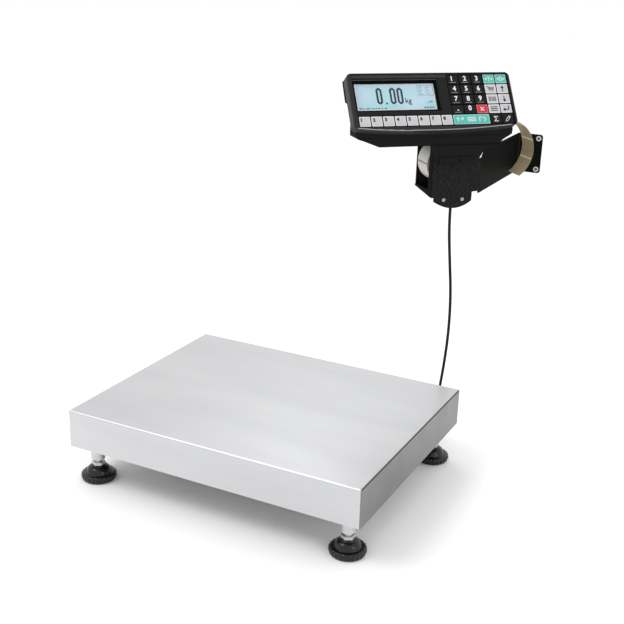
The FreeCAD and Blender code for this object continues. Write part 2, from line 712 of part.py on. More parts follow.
def case_front_points():
    """Front view (u, z) of the rear housing, with its cut lower corners."""
    top = mm.case_top + 5
    return [(mm.case_left, top), (mm.case_left, -27), (-160, -32), (-133, mm.case_floor),
            (79, mm.case_floor), (84.5, -35), (mm.case_right, -26), (mm.case_right, top)]


def case_plan_points():
    """Plan (u, b) of the rear housing, whose left side draws in towards the back."""
    back = mm.case_back + 5
    return [(mm.case_left, -20), (mm.case_right, -20), (mm.case_right, back),
            (mm.case_left + mm.case_taper, back), (mm.case_left, 30)]


def rear_housing():
    """Hollow rear shell with a label slot on its right and a web slot in its floor."""
    side, front, plan = case_side_points(), case_front_points(), case_plan_points()
    shells = []
    for tag, wall in (("outer", 0.0), ("inner", mm.case_wall)):
        side_points = inset(side, wall) if wall else side
        front_points = inset(front, wall) if wall else front
        plan_points = inset(plan, wall) if wall else plan
        if wall:
            # The inner block reaches through the panel's back plane, so the front is open
            forward = (-8 * LEAN_COS, 8 * LEAN_SIN)
            shift = [(x + forward[0], y + forward[1]) for x, y in
                     (side_points[-1], side_points[0])]
            side_points = side_points + shift
        length = prism(f"case_{tag}_side", "YZ_Plane", side_points, mm.case_left - 10,
                       mm.case_right + 10)
        depth = prism(f"case_{tag}_front", "XZ_Plane", front_points, -20, mm.case_back + 20)
        height = prism(f"case_{tag}_plan", "XY_Plane", plan_points, -60, 80)
        block = common(f"case_{tag}", common(f"case_{tag}_block", length, depth), height)
        shells.append(rounded(f"case_{tag}_round", block, mm.case_corner - wall,
                              lambda middle, way: middle.x < mm.case_left + 4
                              and abs(way.y) > 0.9 and middle.z > -28))
    label_slot = box("case_label_slot", "10", "label_width + 6", "6",
                     ("case_right - 6", "label_front - 3", "platen_z + 5.5"))
    web_slot = box("case_web_slot", "30.5", "label_width + 6", "10",
                   ("-16", "label_front - 3", "case_floor - 4"))
    groove = box("case_groove", "case_right - case_left + 10", "7.4", "0.8",
                 ("case_left - 5", "0", "-27.4"))
    jack_hole = cylinder("case_jack_hole", "5.2", "10", ("-120", "case_back - 5", "-25"), "y")
    shell = cut("case_shell", shells[0], shells[1], label_slot, web_slot, groove, jack_hole)
    low, top = ((behind_panel(z, mm.bezel_back - 0.5), z)
                for z in (mm.case_ear_low, mm.case_ear_high))
    ear = rounded("case_ear_round",
                  prism("case_ear", "YZ_Plane",
                        [low, (low[0] + 11, low[1]), (top[0] + 8, top[1]), top],
                        mm.case_left - mm.ear_reach, mm.case_left + 12),
                  2.5, lambda middle, way: middle.x < mm.case_left - mm.ear_reach + 0.1
                  or abs(way.x) > 0.9)
    node(fuse("rear_housing", shell, ear), "rear_housing", TERMINAL)


def apron_points():
    """Front view (u, z) of the apron over the bracket's top."""
    return [(-38.5, mm.case_floor), (-36, -66), (-29, -73), (33, -73), (36.5, -61),
            (79, mm.case_floor)]


def printer_housing():
    """Apron in front of the bracket, with a lip, and the scoop under the mechanism."""
    outline = apron_points()
    outer = prism("apron_outer", "XZ_Plane", outline, mm.apron_front, mm.apron_back)
    inner = prism("apron_inner", "XZ_Plane", inset(outline, mm.case_wall),
                  mm.apron_front + mm.case_wall, mm.apron_back + 5)
    lip = prism("apron_lip", "XZ_Plane",
                [(-28, -72.5), (30, -72.5), (31.5, -62), (-28, -62)],
                mm.apron_front - 1.8, mm.apron_front + 1)
    notch = box("apron_notch", "2.4", "3", "6", ("7.5", "apron_front - 2.5", "-71"))
    start, end = Vector(40, 0, -59.5), Vector(79, 0, mm.case_floor)
    slope = unit(end - start)
    down = Vector(slope.z, 0, -slope.x) * mm.case_wall
    corners = [start, end, end - down, start - down]
    scoop = prism("apron_scoop", "XZ_Plane", [(p.x, p.z) for p in corners][::-1],
                  mm.apron_back - 1, mm.scoop_back)
    shell = cut("apron_shell", outer, inner)
    whole = fuse("apron_whole", shell, lip, scoop)
    above = box("apron_above", "300", "200", "50", ("-150", "-20", "case_floor - 0.1"))
    pilots = [cylinder(f"apron_pilot_{i}", "1.6", "6",
                       (u, "apron_front + case_wall - 0.5", "-52"), "y")
              for i, u in enumerate(("-20", "20"))]
    bosses = fuse("apron_bosses",
                  *[cylinder(f"apron_boss_{i}", "3.5", "plate_front - apron_front - case_wall",
                             (u, "apron_front + case_wall", "-52"), "y")
                    for i, u in enumerate(("-20", "20"))])
    body = cut("apron_cut", fuse("apron_with_bosses", whole, bosses), notch, above, *pilots)
    node(body, "printer_housing", TERMINAL)


# ----------------------------------------------------------------------------------
# Wall bracket and label roll box
# ----------------------------------------------------------------------------------

def bracket_path():
    """Middle line of the bent sheet from above: plate, arm to the wall, wall flange."""
    middle = mm.plate_front + mm.sheet / 2
    diagonal = math.sqrt(0.5)
    fold_y = mm.terminal_y + diagonal * (mm.fold_u + middle)
    reach = (mm.wall_y - mm.sheet / 2 - fold_y) * diagonal
    wall_fold = (mm.fold_u + reach, middle + reach)
    span = mm.flange_length * diagonal
    return [(mm.plate_left, middle), (mm.fold_u, middle), wall_fold,
            (wall_fold[0] + span, wall_fold[1] - span)]


def wall_bracket():
    """One bent steel sheet: terminal plate with a rounded ear, arm and wall flange."""
    path = bracket_path()
    body = make_body("bracket_body")
    outline = sketch_on(body, "bracket_plan", "XY_Plane", mm.box_low - 1)
    draw_strip(outline, path, mm.bend, mm.sheet)
    pad(body, outline, "bracket_strip", "case_floor - 3.5 - box_low + 1")
    doc.recompute()
    ear = sketch_on(body, "bracket_ear", "XZ_Plane", -mm.plate_front)
    left, right, side = mm.ear_left, mm.ear_right, mm.ear_side
    corner = [Vector(left, -110, 0), Vector(left, side, 0), Vector(right, side, 0),
              Vector(right, -110, 0)]
    lowest = Vector((left + right) / 2, mm.ear_bottom, 0)
    ear.addGeometry([Part.LineSegment(corner[0], corner[1]),
                     Part.Arc(corner[1], lowest, corner[2]),
                     Part.LineSegment(corner[2], corner[3]),
                     Part.LineSegment(corner[3], corner[0])], False)
    pad(body, ear, "bracket_ear_pad", "sheet", reverse=True)
    # Beside the ear the plate's lower edge rises a little towards the fold
    trim = prism("bracket_trim_left", "XZ_Plane",
                 [(-60, -170), (left, -170), (left, -130.2), (-60, -131)], 10, 20)
    trim_right = prism("bracket_trim_right", "XZ_Plane",
                       [(right, -170), (mm.fold_u - 2, -170), (mm.fold_u - 2, -121.5),
                        (right, -122.5)], 10, 20)
    arm_low = box("bracket_arm_low", "400", "400", "20",
                  (f"{mm.fold_u - 2}", "-100", "bracket_low - 20"))
    # The plate's upper edge on the right runs 1 mm under the printer's scoop
    plate_top = prism("bracket_plate_top", "XZ_Plane",
                      [(30, -64.9), (60, -51.8), (60, -20), (30, -20)],
                      mm.plate_front - 1, mm.plate_front + mm.sheet + 1)
    top = box("bracket_top_cut", "400", "400", "40", (f"{mm.fold_u - 2}", "-100", "bracket_top"))
    relief = prism("bracket_relief", "XZ_Plane",
                   [(mm.fold_u - 4, -66), (mm.fold_u + 1, -66), (mm.fold_u + 9, mm.bracket_top + 1),
                    (mm.fold_u + 9, -40), (mm.fold_u + 4, -40),
                    (mm.fold_u + 4, mm.bracket_top + 1)], 8, 30)
    wall_end = Vector(path[-1][0], path[-1][1], 0)
    backwards = Vector(-math.sqrt(0.5), math.sqrt(0.5), 0)
    from_end = wall_end + backwards * mm.wall_hole_edge
    middle_z = (mm.bracket_top + mm.bracket_low) / 2
    holes = []
    for i, sign in enumerate((-1, 1)):
        hole = cylinder(f"wall_hole_{i}", "wall_hole_diameter / 2", "20", ("0", "0", "0"), "y")
        holder = group(f"wall_hole_place_{i}", hole)
        holder.Placement = Placement(
            Vector(from_end.x, from_end.y, middle_z + sign * mm.wall_hole_span / 2)
            - Vector(math.sqrt(0.5) * 10, math.sqrt(0.5) * 10, 0), Rotation(Vector(0, 0, 1), -45))
        holes.append(holder)
    ear_holes = [cylinder(f"ear_hole_{i}", "2.1", "20",
                          (f"ear_screw_u + {sign} * ear_screw_span / 2", "5", "ear_screw_z"), "y")
                 for i, sign in enumerate((-1, 1))]
    plate_holes = [cylinder(f"plate_hole_{i}", "2.1", "8", (u, "plate_front - 3", "-52"), "y")
                   for i, u in enumerate(("-20", "20"))]
    spindle_hole = cylinder("plate_spindle_hole", "3.1", "8",
                            ("roll_u", "plate_front - 3", "roll_z"), "y")
    bracket = cut("bracket_sheet", body, trim, trim_right, arm_low, plate_top, top, relief, *holes,
                  *ear_holes, *plate_holes, spindle_hole)

    def flange_corner(middle, way):
        plan = Vector(middle.x, middle.y, 0)
        return (plan - wall_end).Length < mm.sheet and abs(way.x + way.y) > 1.4

    node(rounded("wall_bracket", bracket, mm.flange_corner, flange_corner), "wall_bracket",
         TERMINAL)


def wall_hole_places():
    """World places of the two wall screws on the flange's front face."""
    end = TERMINAL.multVec(Vector(*bracket_path()[-1], 0))
    middle_z = mm.terminal_z + (mm.bracket_top + mm.bracket_low) / 2
    return [Vector(end.x - mm.wall_hole_edge, mm.wall_y - mm.sheet,
                   middle_z + sign * mm.wall_hole_span / 2) for sign in (-1, 1)]


def wall_washers():
    """Plain washer round each wall hole, on the flange's front face."""
    rings = []
    for i, place in enumerate(wall_hole_places()):
        ring = cut(f"washer_{i}",
                   cylinder(f"washer_disc_{i}", "washer_diameter / 2", "washer_thickness",
                            ("0", "0", "0"), "y"),
                   cylinder(f"washer_bore_{i}", "wall_hole_diameter / 2", "10",
                            ("0", "-5", "0"), "y"))
        ring.Placement = Placement(place - Vector(0, mm.washer_thickness, 0), Rotation())
        rings.append(ring)
    node(group("wall_washers", *rings), "wall_washers")


def screw(name, head_radius, head_height, shank_radius, shank_length):
    """Pan-head screw along +y, its head's underside at the origin."""
    head = cylinder(name + "_head", head_radius, head_height, ("0", f"-{head_height}", "0"), "y")
    shank = cylinder(name + "_shank", shank_radius, shank_length, ("0", "0", "0"), "y")
    slot = box(name + "_slot", f"{head_radius} * 1.2", f"{head_height} / 2", "0.8",
               (f"-{head_radius} * 0.6", f"-{head_height}", "-0.4"))
    return cut(name, fuse(name + "_turned", head, shank), slot)


def bracket_screws():
    """Two screws in the bracket's ear and two behind the apron."""
    screws = []
    for i, sign in enumerate((-1, 1)):
        piece = screw(f"ear_screw_{i}", "3", "2.2", "1.9", "12")
        piece.Placement = Placement(
            Vector(mm.ear_screw_u + sign * mm.ear_screw_span / 2, mm.plate_front, mm.ear_screw_z),
            Rotation())
        screws.append(piece)
    for i, u in enumerate((-20, 20)):
        piece = screw(f"plate_screw_{i}", "3.2", "2", "1.5", "5")
        piece.Placement = Placement(Vector(u, mm.plate_front + mm.sheet, -52),
                                    Rotation(Vector(0, 0, 1), 180))
        screws.append(piece)
    node(group("bracket_screws", *screws), "bracket_screws", TERMINAL)


def roll_box():
    """Sheet box round the label roll: return tab, windowed left wing, rear plate and lip."""
    body = make_body("roll_box_body")
    outline = sketch_on(body, "roll_box_plan", "XY_Plane", mm.box_low)
    inner = mm.plate_front + mm.sheet * 1.5 + 0.05
    wing = mm.plate_left + mm.sheet / 2
    rear = mm.box_back - mm.sheet / 2
    draw_strip(outline, [(-16, inner), (wing, inner), (wing, rear), (30, rear)],
               mm.sheet, mm.sheet)
    pad(body, outline, "roll_box_strip", "case_floor - 0.5 - box_low")
    window = sketch_on(body, "roll_box_window", "YZ_Plane", mm.plate_left - 5)
    draw_rectangle(window, "window_front", "window_low", "window_back - window_front", "100")
    pocket(body, window, "roll_box_window_cut", "12", reverse=True)
    rise = prism("roll_box_rise", "YZ_Plane",
                 [(mm.plate_front, mm.box_low - 5), (mm.box_back + 5, mm.box_low - 5),
                  (mm.box_back + 5, mm.box_low + mm.box_rise), (mm.plate_front, mm.box_low)],
                 mm.plate_left - 5, 40)
    tab_ends = [box(f"roll_box_tab_{end}", "40", "8", "20",
                    ("plate_left + 2 * sheet", "plate_front + 1", low))
                for end, low in (("low", "box_low - 1"), ("top", "-60"))]
    lip = box("roll_box_lip", "30 - plate_left", "box_back - 45", "sheet",
              ("plate_left", "45", "box_low + box_rise - 0.4"))
    node(cut("roll_box", fuse("roll_box_bent", body, lip), rise, *tab_ends), "roll_box", TERMINAL)


def roll_spindle():
    """Fixed spindle riveted in the bracket's plate, with the hub that the core turns on."""
    pin = cylinder("spindle_pin", "3", "58", ("roll_u", "plate_front", "roll_z"),
                   "y")
    flange = cylinder("spindle_flange", "24", "3",
                      ("roll_u", "label_front - 3.6", "roll_z"), "y")
    neck = cylinder("spindle_neck", "8", "6",
                    ("roll_u", "plate_front + sheet + 0.05", "roll_z"), "y")
    hub = cylinder("spindle_hub", "core_radius - hub_gap", "label_width - 1",
                   ("roll_u", "label_front - 0.7", "roll_z"), "y")
    node(fuse("roll_spindle", pin, neck, flange, hub), "roll_spindle", TERMINAL)


def label_roll():
    """Card core and the labels wound on it."""
    at = ("roll_u", "label_front", "roll_z")
    bore_at = ("roll_u", "label_front - 5", "roll_z")
    core = cut("roll_core",
               cylinder("core_outer", "core_radius + core_wall", "label_width", at, "y"),
               cylinder("core_bore", "core_radius", "label_width + 10", bore_at, "y"))
    paper = cut("roll_paper",
                cylinder("paper_outer", "roll_radius", "label_width", at, "y"),
                cylinder("paper_bore", "core_radius + core_wall", "label_width + 10", bore_at,
                         "y"))
    node(group("label_roll", core, paper), "label_roll", TERMINAL)


def strip_edges(offset):
    """Side view (u, z) of the strip: up from the roll, over the platen, out and curled."""
    over = mm.platen_z + mm.platen_radius + mm.platen_gap + mm.strip_thickness / 2
    reach = mm.roll_radius + mm.platen_gap + mm.strip_thickness
    to_u, to_z = mm.platen_u - 8 - mm.roll_u, over - mm.roll_z
    aim = math.atan2(to_z, to_u) - math.asin(reach / math.hypot(to_u, to_z))
    start = (mm.roll_u - reach * math.sin(aim) + 6, mm.roll_z + reach * math.cos(aim)
             + 6 * math.tan(aim))
    flat = rounded_path([start, (mm.platen_u - 8, over), (mm.curl_u, over)], 12, offset)
    radius = mm.curl_radius + offset
    centre = Vector(mm.curl_u, over - mm.curl_radius, 0)
    last = math.radians(mm.curl_end)
    def on_curl(angle):
        return centre + Vector(math.cos(angle), math.sin(angle), 0) * radius
    curl = Part.Arc(on_curl(math.pi / 2), on_curl((math.pi / 2 + last) / 2), on_curl(last))
    return flat + [curl]


def label_strip():
    """Labels on their liner, from the roll through the printer to the curled end."""
    body = make_body("strip_body")
    sketch = sketch_on(body, "strip_side", "XZ_Plane", -mm.label_front)
    upper = strip_edges(mm.strip_thickness / 2)
    lower = strip_edges(-mm.strip_thickness / 2)
    sketch.addGeometry(upper, False)
    sketch.addGeometry(lower, False)
    sketch.addGeometry(Part.LineSegment(upper[0].StartPoint, lower[0].StartPoint), False)
    sketch.addGeometry(Part.LineSegment(upper[-1].EndPoint, lower[-1].EndPoint), False)
    pad(body, sketch, "strip_pad", "label_width", reverse=True)
    node(body, "label_strip", TERMINAL)


# ----------------------------------------------------------------------------------
# Printer mechanism
# ----------------------------------------------------------------------------------

def printer_frame():
    """Two side plates, a tie bar, the head's hinge pin and the feed motor."""
    plates = []
    for tag, start in (("front", "mech_front"), ("back", "mech_back - mech_plate")):
        outline = prism(f"mech_plate_{tag}", "XZ_Plane",
                        [(46, -24), (60, -38), (76, -38), (95.5, -22), (95.5, -10.5),
                         (88, 2), (60, 13), (46, 13)], 0, mm.mech_plate)
        bores = [cylinder(f"mech_platen_bore_{tag}", "2.55", "10", ("platen_u", "-4", "platen_z"),
                          "y")]
        plate = cut(f"mech_side_{tag}", outline, *bores)
        holder = group(f"mech_place_{tag}", plate)
        set_place(holder, ("0", start, "0"))
        plates.append(holder)
    inside = "mech_back - mech_front - 2 * mech_plate"
    tie = cylinder("mech_tie", "2.5", inside, ("49", "mech_front + mech_plate", "-8"), "y")
    pin = cylinder("mech_head_pin", "head_pin", inside,
                   ("head_u", "mech_front + mech_plate", "head_z"), "y")
    motor = cylinder("mech_motor", "7", "30", ("66", "mech_front + mech_plate", "-31"), "y")
    node(fuse("printer_frame", *plates, tie, pin, motor), "printer_frame", TERMINAL)


def print_head():
    """Sprung thermal head on its hinge pin, pressing the labels on the platen."""
    length = "label_width + 2"
    start = "label_front - 1"
    arm = prism("head_arm", "XZ_Plane",
                [(50, 6), (72, mm.platen_z + 12), (90, mm.platen_z + 9.4),
                 (90, mm.platen_z + 13), (74, 6), (54, 12)], 0, mm.label_width + 2)
    arm_place = group("head_arm_place", arm)
    set_place(arm_place, ("0", start, "0"))
    barrel = cylinder("head_barrel", "4.5", length, ("head_u", start, "head_z"), "y")
    bore = cylinder("head_bore", "head_pin + 0.06", "80", ("head_u", "label_front - 10",
                                                           "head_z"), "y")
    node(cut("print_head", fuse("head_solid", arm_place, barrel), bore), "print_head", TERMINAL)


def platen_roller():
    """Rubber platen on a steel shaft that turns in the side plates."""
    sleeve = cylinder("platen_sleeve", "platen_radius", "label_width + 2",
                      ("platen_u", "label_front - 1", "platen_z"), "y")
    shaft = cylinder("platen_shaft", "2.5", "mech_back - mech_front + 5",
                     ("platen_u", "mech_front - 1", "platen_z"), "y")
    wheel = cylinder("platen_wheel", "7", "3", ("platen_u", "mech_back + 0.6", "platen_z"), "y")
    node(fuse("platen_roller", sleeve, shaft, wheel), "platen_roller", TERMINAL)


# ----------------------------------------------------------------------------------
# Signal lead
# ----------------------------------------------------------------------------------

def cable_glands():
    """Clamp block with its gland behind the bracket's ear, and the base's gland."""
    block = box("clamp_block", "47", "22", "12", ("-20", "plate_front + sheet", "-143"))
    nose = cone("clamp_nose", "4.2", "7.5", "-143 - gland_face", ("gland_u", "gland_b",
                                                                  "gland_face"))
    clearance = [cylinder(f"clamp_hole_{i}", "1.95", "25",
                          (f"ear_screw_u + {sign} * ear_screw_span / 2", "5", "ear_screw_z"),
                          "y") for i, sign in enumerate((-1, 1))]
    clamp = cut("clamp", fuse("clamp_solid", block, nose), *clearance)
    clamp_place = group("clamp_place", clamp)
    clamp_place.Placement = TERMINAL
    face = BASE_BACK
    thread = cylinder("base_gland_thread", "6", "12",
                      ("base_gland_x", f"{face} - 10", "base_gland_z"), "y")
    collar = cylinder("base_gland_collar", "9", "5", ("base_gland_x", face, "base_gland_z"), "y")
    dome = cone("base_gland_dome", "8", "4.2", f"base_gland_face - {face} - 5",
                ("base_gland_x", f"{face} + 5", "base_gland_z"), "y")
    node(group("cable_glands", clamp_place, fuse("base_gland", thread, collar, dome)),
         "cable_glands")


# The lead hangs from the clamp, lies in a slack loop behind the platform and goes
# back into the base. Points chosen by hand, in millimetres.
LEAD_ROUTE = [
    (190.65, 265.58, 294.1), (190.65, 265.58, 262), (196, 266.5, 204), (202.5, 268, 140),
    (204, 270, 72), (201.5, 273, 6), (197, 278, -54), (191.5, 288, -92), (184, 308, -117),
    (169, 337, -122.4), (137, 363, -122.4), (92, 372, -122.4), (50, 356, -122.4),
    (36, 319, -122.4), (57, 283, -122.4), (97, 268, -122.4), (130, 258, -118),
    (146, 240, -102), (150, 219, -86), (150, 200, -86),
]


def lead_wire(points):
    """Straight runs joined by tangent arcs, each as large as its two runs allow."""
    route = [Vector(*point) for point in points]
    edges = []
    start = route[0]
    for before, corner, after in zip(route, route[1:], route[2:]):
        heading, leaving = unit(corner - before), unit(after - corner)
        turn = heading.getAngle(leaving)
        reach = 0.45 * min((corner - before).Length, (after - corner).Length)
        radius = reach / math.tan(turn / 2)
        centre = corner + unit(leaving - heading) * (radius / math.cos(turn / 2))
        enter, leave = corner - heading * reach, corner + leaving * reach
        middle = centre + unit(corner - centre) * radius
        edges.append(Part.LineSegment(start, enter).toShape())
        edges.append(Part.Arc(enter, middle, leave).toShape())
        start = leave
    edges.append(Part.LineSegment(start, route[-1]).toShape())
    return Part.Wire(edges)


def signal_cable():
    """Round signal lead between the terminal's clamp and the platform's gland."""
    gland = TERMINAL.multVec(Vector(mm.gland_u, mm.gland_b, mm.gland_face))
    base = Vector(mm.base_gland_x, mm.base_gland_face, mm.base_gland_z)
    route = [tuple(gland)] + LEAD_ROUTE[1:-1] + [tuple(base)]
    wire = lead_wire(route)
    radius = mm.lead_diameter / 2
    section = Part.Wire([Part.makeCircle(radius, Vector(*route[0]),
                                         Vector(*route[1]) - Vector(*route[0]))])
    lead = doc.addObject("Part::Feature", "signal_cable")
    lead.Shape = wire.makePipeShell([section], True, False)
    ratio = lead.Shape.Volume / (math.pi * radius ** 2 * wire.Length)
    print(f"lead length {wire.Length:.0f} mm, volume ratio {ratio:.4f}")
    node(lead, "signal_cable")


# ----------------------------------------------------------------------------------
# Build, test and write
# ----------------------------------------------------------------------------------

platter_cover()
top_frame()
corner_buffers()
base_frame()
load_cell()
load_cell_bolts()
for foot_label, (side_x, side_y) in FOOT_PLACES.items():
    foot(foot_label, side_x, side_y)
wall_bracket()
wall_washers()
roll_box()
bracket_screws()
front_bezel()
rear_housing()
printer_housing()
keypad_overlay()
display_pieces()
main_board()
keys()
printer_frame()
print_head()
platen_roller()
roll_spindle()
label_roll()
label_strip()
cable_glands()
signal_cable()

doc.recompute()
failed = [item.Name for item in doc.Objects if {"Invalid", "Error"} & set(item.State)]
failed += [item.Label for item in nodes if item.Shape.isNull() or not item.Shape.isValid()]
if failed:
    raise RuntimeError("failed: " + ", ".join(failed))

os.makedirs("parts", exist_ok=True)
for item in nodes:
    item.Shape.exportStep(f"parts/{item.Label}.step")
print(len(nodes), "nodes written")
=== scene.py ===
import json
import math
import bpy
import bmesh
from mathutils import Matrix, Vector


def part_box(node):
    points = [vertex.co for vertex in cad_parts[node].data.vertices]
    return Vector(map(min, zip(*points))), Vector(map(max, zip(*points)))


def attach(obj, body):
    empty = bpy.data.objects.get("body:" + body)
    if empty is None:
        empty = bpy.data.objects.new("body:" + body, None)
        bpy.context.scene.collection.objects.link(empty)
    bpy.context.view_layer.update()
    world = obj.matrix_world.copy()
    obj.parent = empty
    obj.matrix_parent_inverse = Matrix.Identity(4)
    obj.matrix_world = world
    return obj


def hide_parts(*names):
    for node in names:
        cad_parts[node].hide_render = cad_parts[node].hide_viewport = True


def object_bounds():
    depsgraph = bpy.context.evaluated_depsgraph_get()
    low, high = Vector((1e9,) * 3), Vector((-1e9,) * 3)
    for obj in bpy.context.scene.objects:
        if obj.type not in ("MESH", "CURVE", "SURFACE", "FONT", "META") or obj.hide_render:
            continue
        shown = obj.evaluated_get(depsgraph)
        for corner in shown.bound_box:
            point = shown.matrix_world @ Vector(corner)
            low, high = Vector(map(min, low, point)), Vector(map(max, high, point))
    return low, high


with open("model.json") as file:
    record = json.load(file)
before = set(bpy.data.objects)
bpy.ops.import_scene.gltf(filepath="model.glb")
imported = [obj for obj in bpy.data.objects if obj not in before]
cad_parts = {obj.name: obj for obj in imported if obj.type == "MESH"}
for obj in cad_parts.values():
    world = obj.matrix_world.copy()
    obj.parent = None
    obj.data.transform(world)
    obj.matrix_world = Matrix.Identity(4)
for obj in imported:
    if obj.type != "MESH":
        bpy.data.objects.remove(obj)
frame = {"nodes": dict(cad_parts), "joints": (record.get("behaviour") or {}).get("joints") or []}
CAD_BOX = [list(corner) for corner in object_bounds()]

ROOT = "base_and_terminal"
NODES = frame["nodes"]
JOINTS = {joint["name"]: joint for joint in frame["joints"]}

# ---------------------------------------------------------------------------
# Frames of the terminal. In TERMINAL x runs to its right, y to its back and
# z up; in PANEL x is the same, y runs up the leaning panel and z out of it.
# ---------------------------------------------------------------------------

TERMINAL_PLACE = Vector((0.2055, 0.238, 0.4456))
TERMINAL_TURN = math.radians(45)
PANEL_LEAN = math.radians(33.4)
TERMINAL = Matrix.Translation(TERMINAL_PLACE) @ Matrix.Rotation(TERMINAL_TURN, 4, "Z")
PANEL = TERMINAL @ Matrix.Rotation(math.pi / 2 - PANEL_LEAN, 4, "X")
WORLD = Matrix.Identity(4)
MM = 0.001


def box_in(node, place):
    """Lowest and highest corner of a CAD node, measured in another frame."""
    back = place.inverted()
    points = [back @ vertex.co for vertex in NODES[node].data.vertices]
    return (Vector([min(p[i] for p in points) for i in range(3)]),
            Vector([max(p[i] for p in points) for i in range(3)]))


# ---------------------------------------------------------------------------
# Camera, lights and floor
# ---------------------------------------------------------------------------

CAMERA_AZIMUTH = math.radians(26.58)
CAMERA_ELEVATION = math.radians(19.62)
CAMERA_ROLL = math.radians(1.774)
CAMERA_PLACE = (0.7609, -1.3811, 0.7156)
CAMERA_LENS = 60.77
SENSOR_WIDTH = 36
WORLD_LIGHT = 1.04
FLOOR_REACH = 40.0


def make_camera():
    """The photograph's view of the platform."""
    data = bpy.data.cameras.new("camera")
    data.lens = CAMERA_LENS
    data.sensor_width = SENSOR_WIDTH
    camera = bpy.data.objects.new("camera", data)
    bpy.context.scene.collection.objects.link(camera)
    back = Vector((math.sin(CAMERA_AZIMUTH) * math.cos(CAMERA_ELEVATION),
                   -math.cos(CAMERA_AZIMUTH) * math.cos(CAMERA_ELEVATION),
                   math.sin(CAMERA_ELEVATION)))
    level = (-back).cross(Vector((0, 0, 1))).normalized()
    upright = level.cross(-back)
    right = math.cos(CAMERA_ROLL) * level + math.sin(CAMERA_ROLL) * upright
    up = -math.sin(CAMERA_ROLL) * level + math.cos(CAMERA_ROLL) * upright
    turn = Matrix((right, up, back)).transposed().to_4x4()
    camera.matrix_world = Matrix.Translation(CAMERA_PLACE) @ turn
    bpy.context.scene.camera = camera


def area_light(name, place, aim, size, power):
    """A square light, aimed at a point."""
    data = bpy.data.lights.new(name, "AREA")
    data.size = size
    data.energy = power
    light = bpy.data.objects.new(name, data)
    bpy.context.scene.collection.objects.link(light)
    light.location = place
    light.rotation_mode = "QUATERNION"
    light.rotation_quaternion = (Vector(aim) - Vector(place)).to_track_quat("-Z", "Y")


def make_studio():
    """Key from the front left, a low light from the right, one behind, and a pale floor."""
    area_light("key_light", (-1.2, -1.3, 2.3), (0, -0.1, 0.05), 1.2, 22)
    area_light("rim_light", (1.75, -0.55, 0.52), (0.2, 0.24, 0.45), 0.6, 2.5)
    area_light("back_light", (-0.4, 1.0, 1.5), (0.1, 0.35, 0.45), 0.5, 4)
    world = bpy.data.worlds.new("studio")
    world.use_nodes = True
    background = world.node_tree.nodes["Background"]
    background.inputs["Color"].default_value = (1, 1, 1, 1)
    background.inputs["Strength"].default_value = WORLD_LIGHT
    bpy.context.scene.world = world
    bpy.context.scene.view_settings.view_transform = "Standard"
    floor_data = bpy.data.meshes.new("floor")
    low = CAD_BOX[0][2]
    corners = [(x * FLOOR_REACH, y * FLOOR_REACH, low)
               for x, y in ((-1, -1), (1, -1), (1, 1), (-1, 1))]
    floor_data.from_pydata(corners, [], [(0, 1, 2, 3)])
    floor = bpy.data.objects.new("floor", floor_data)
    bpy.context.scene.collection.objects.link(floor)
    floor_data.materials.append(Shader("floor_pale", (0.96, 0.96, 0.96), 0.8).material)


# ---------------------------------------------------------------------------
# Materials
# ---------------------------------------------------------------------------

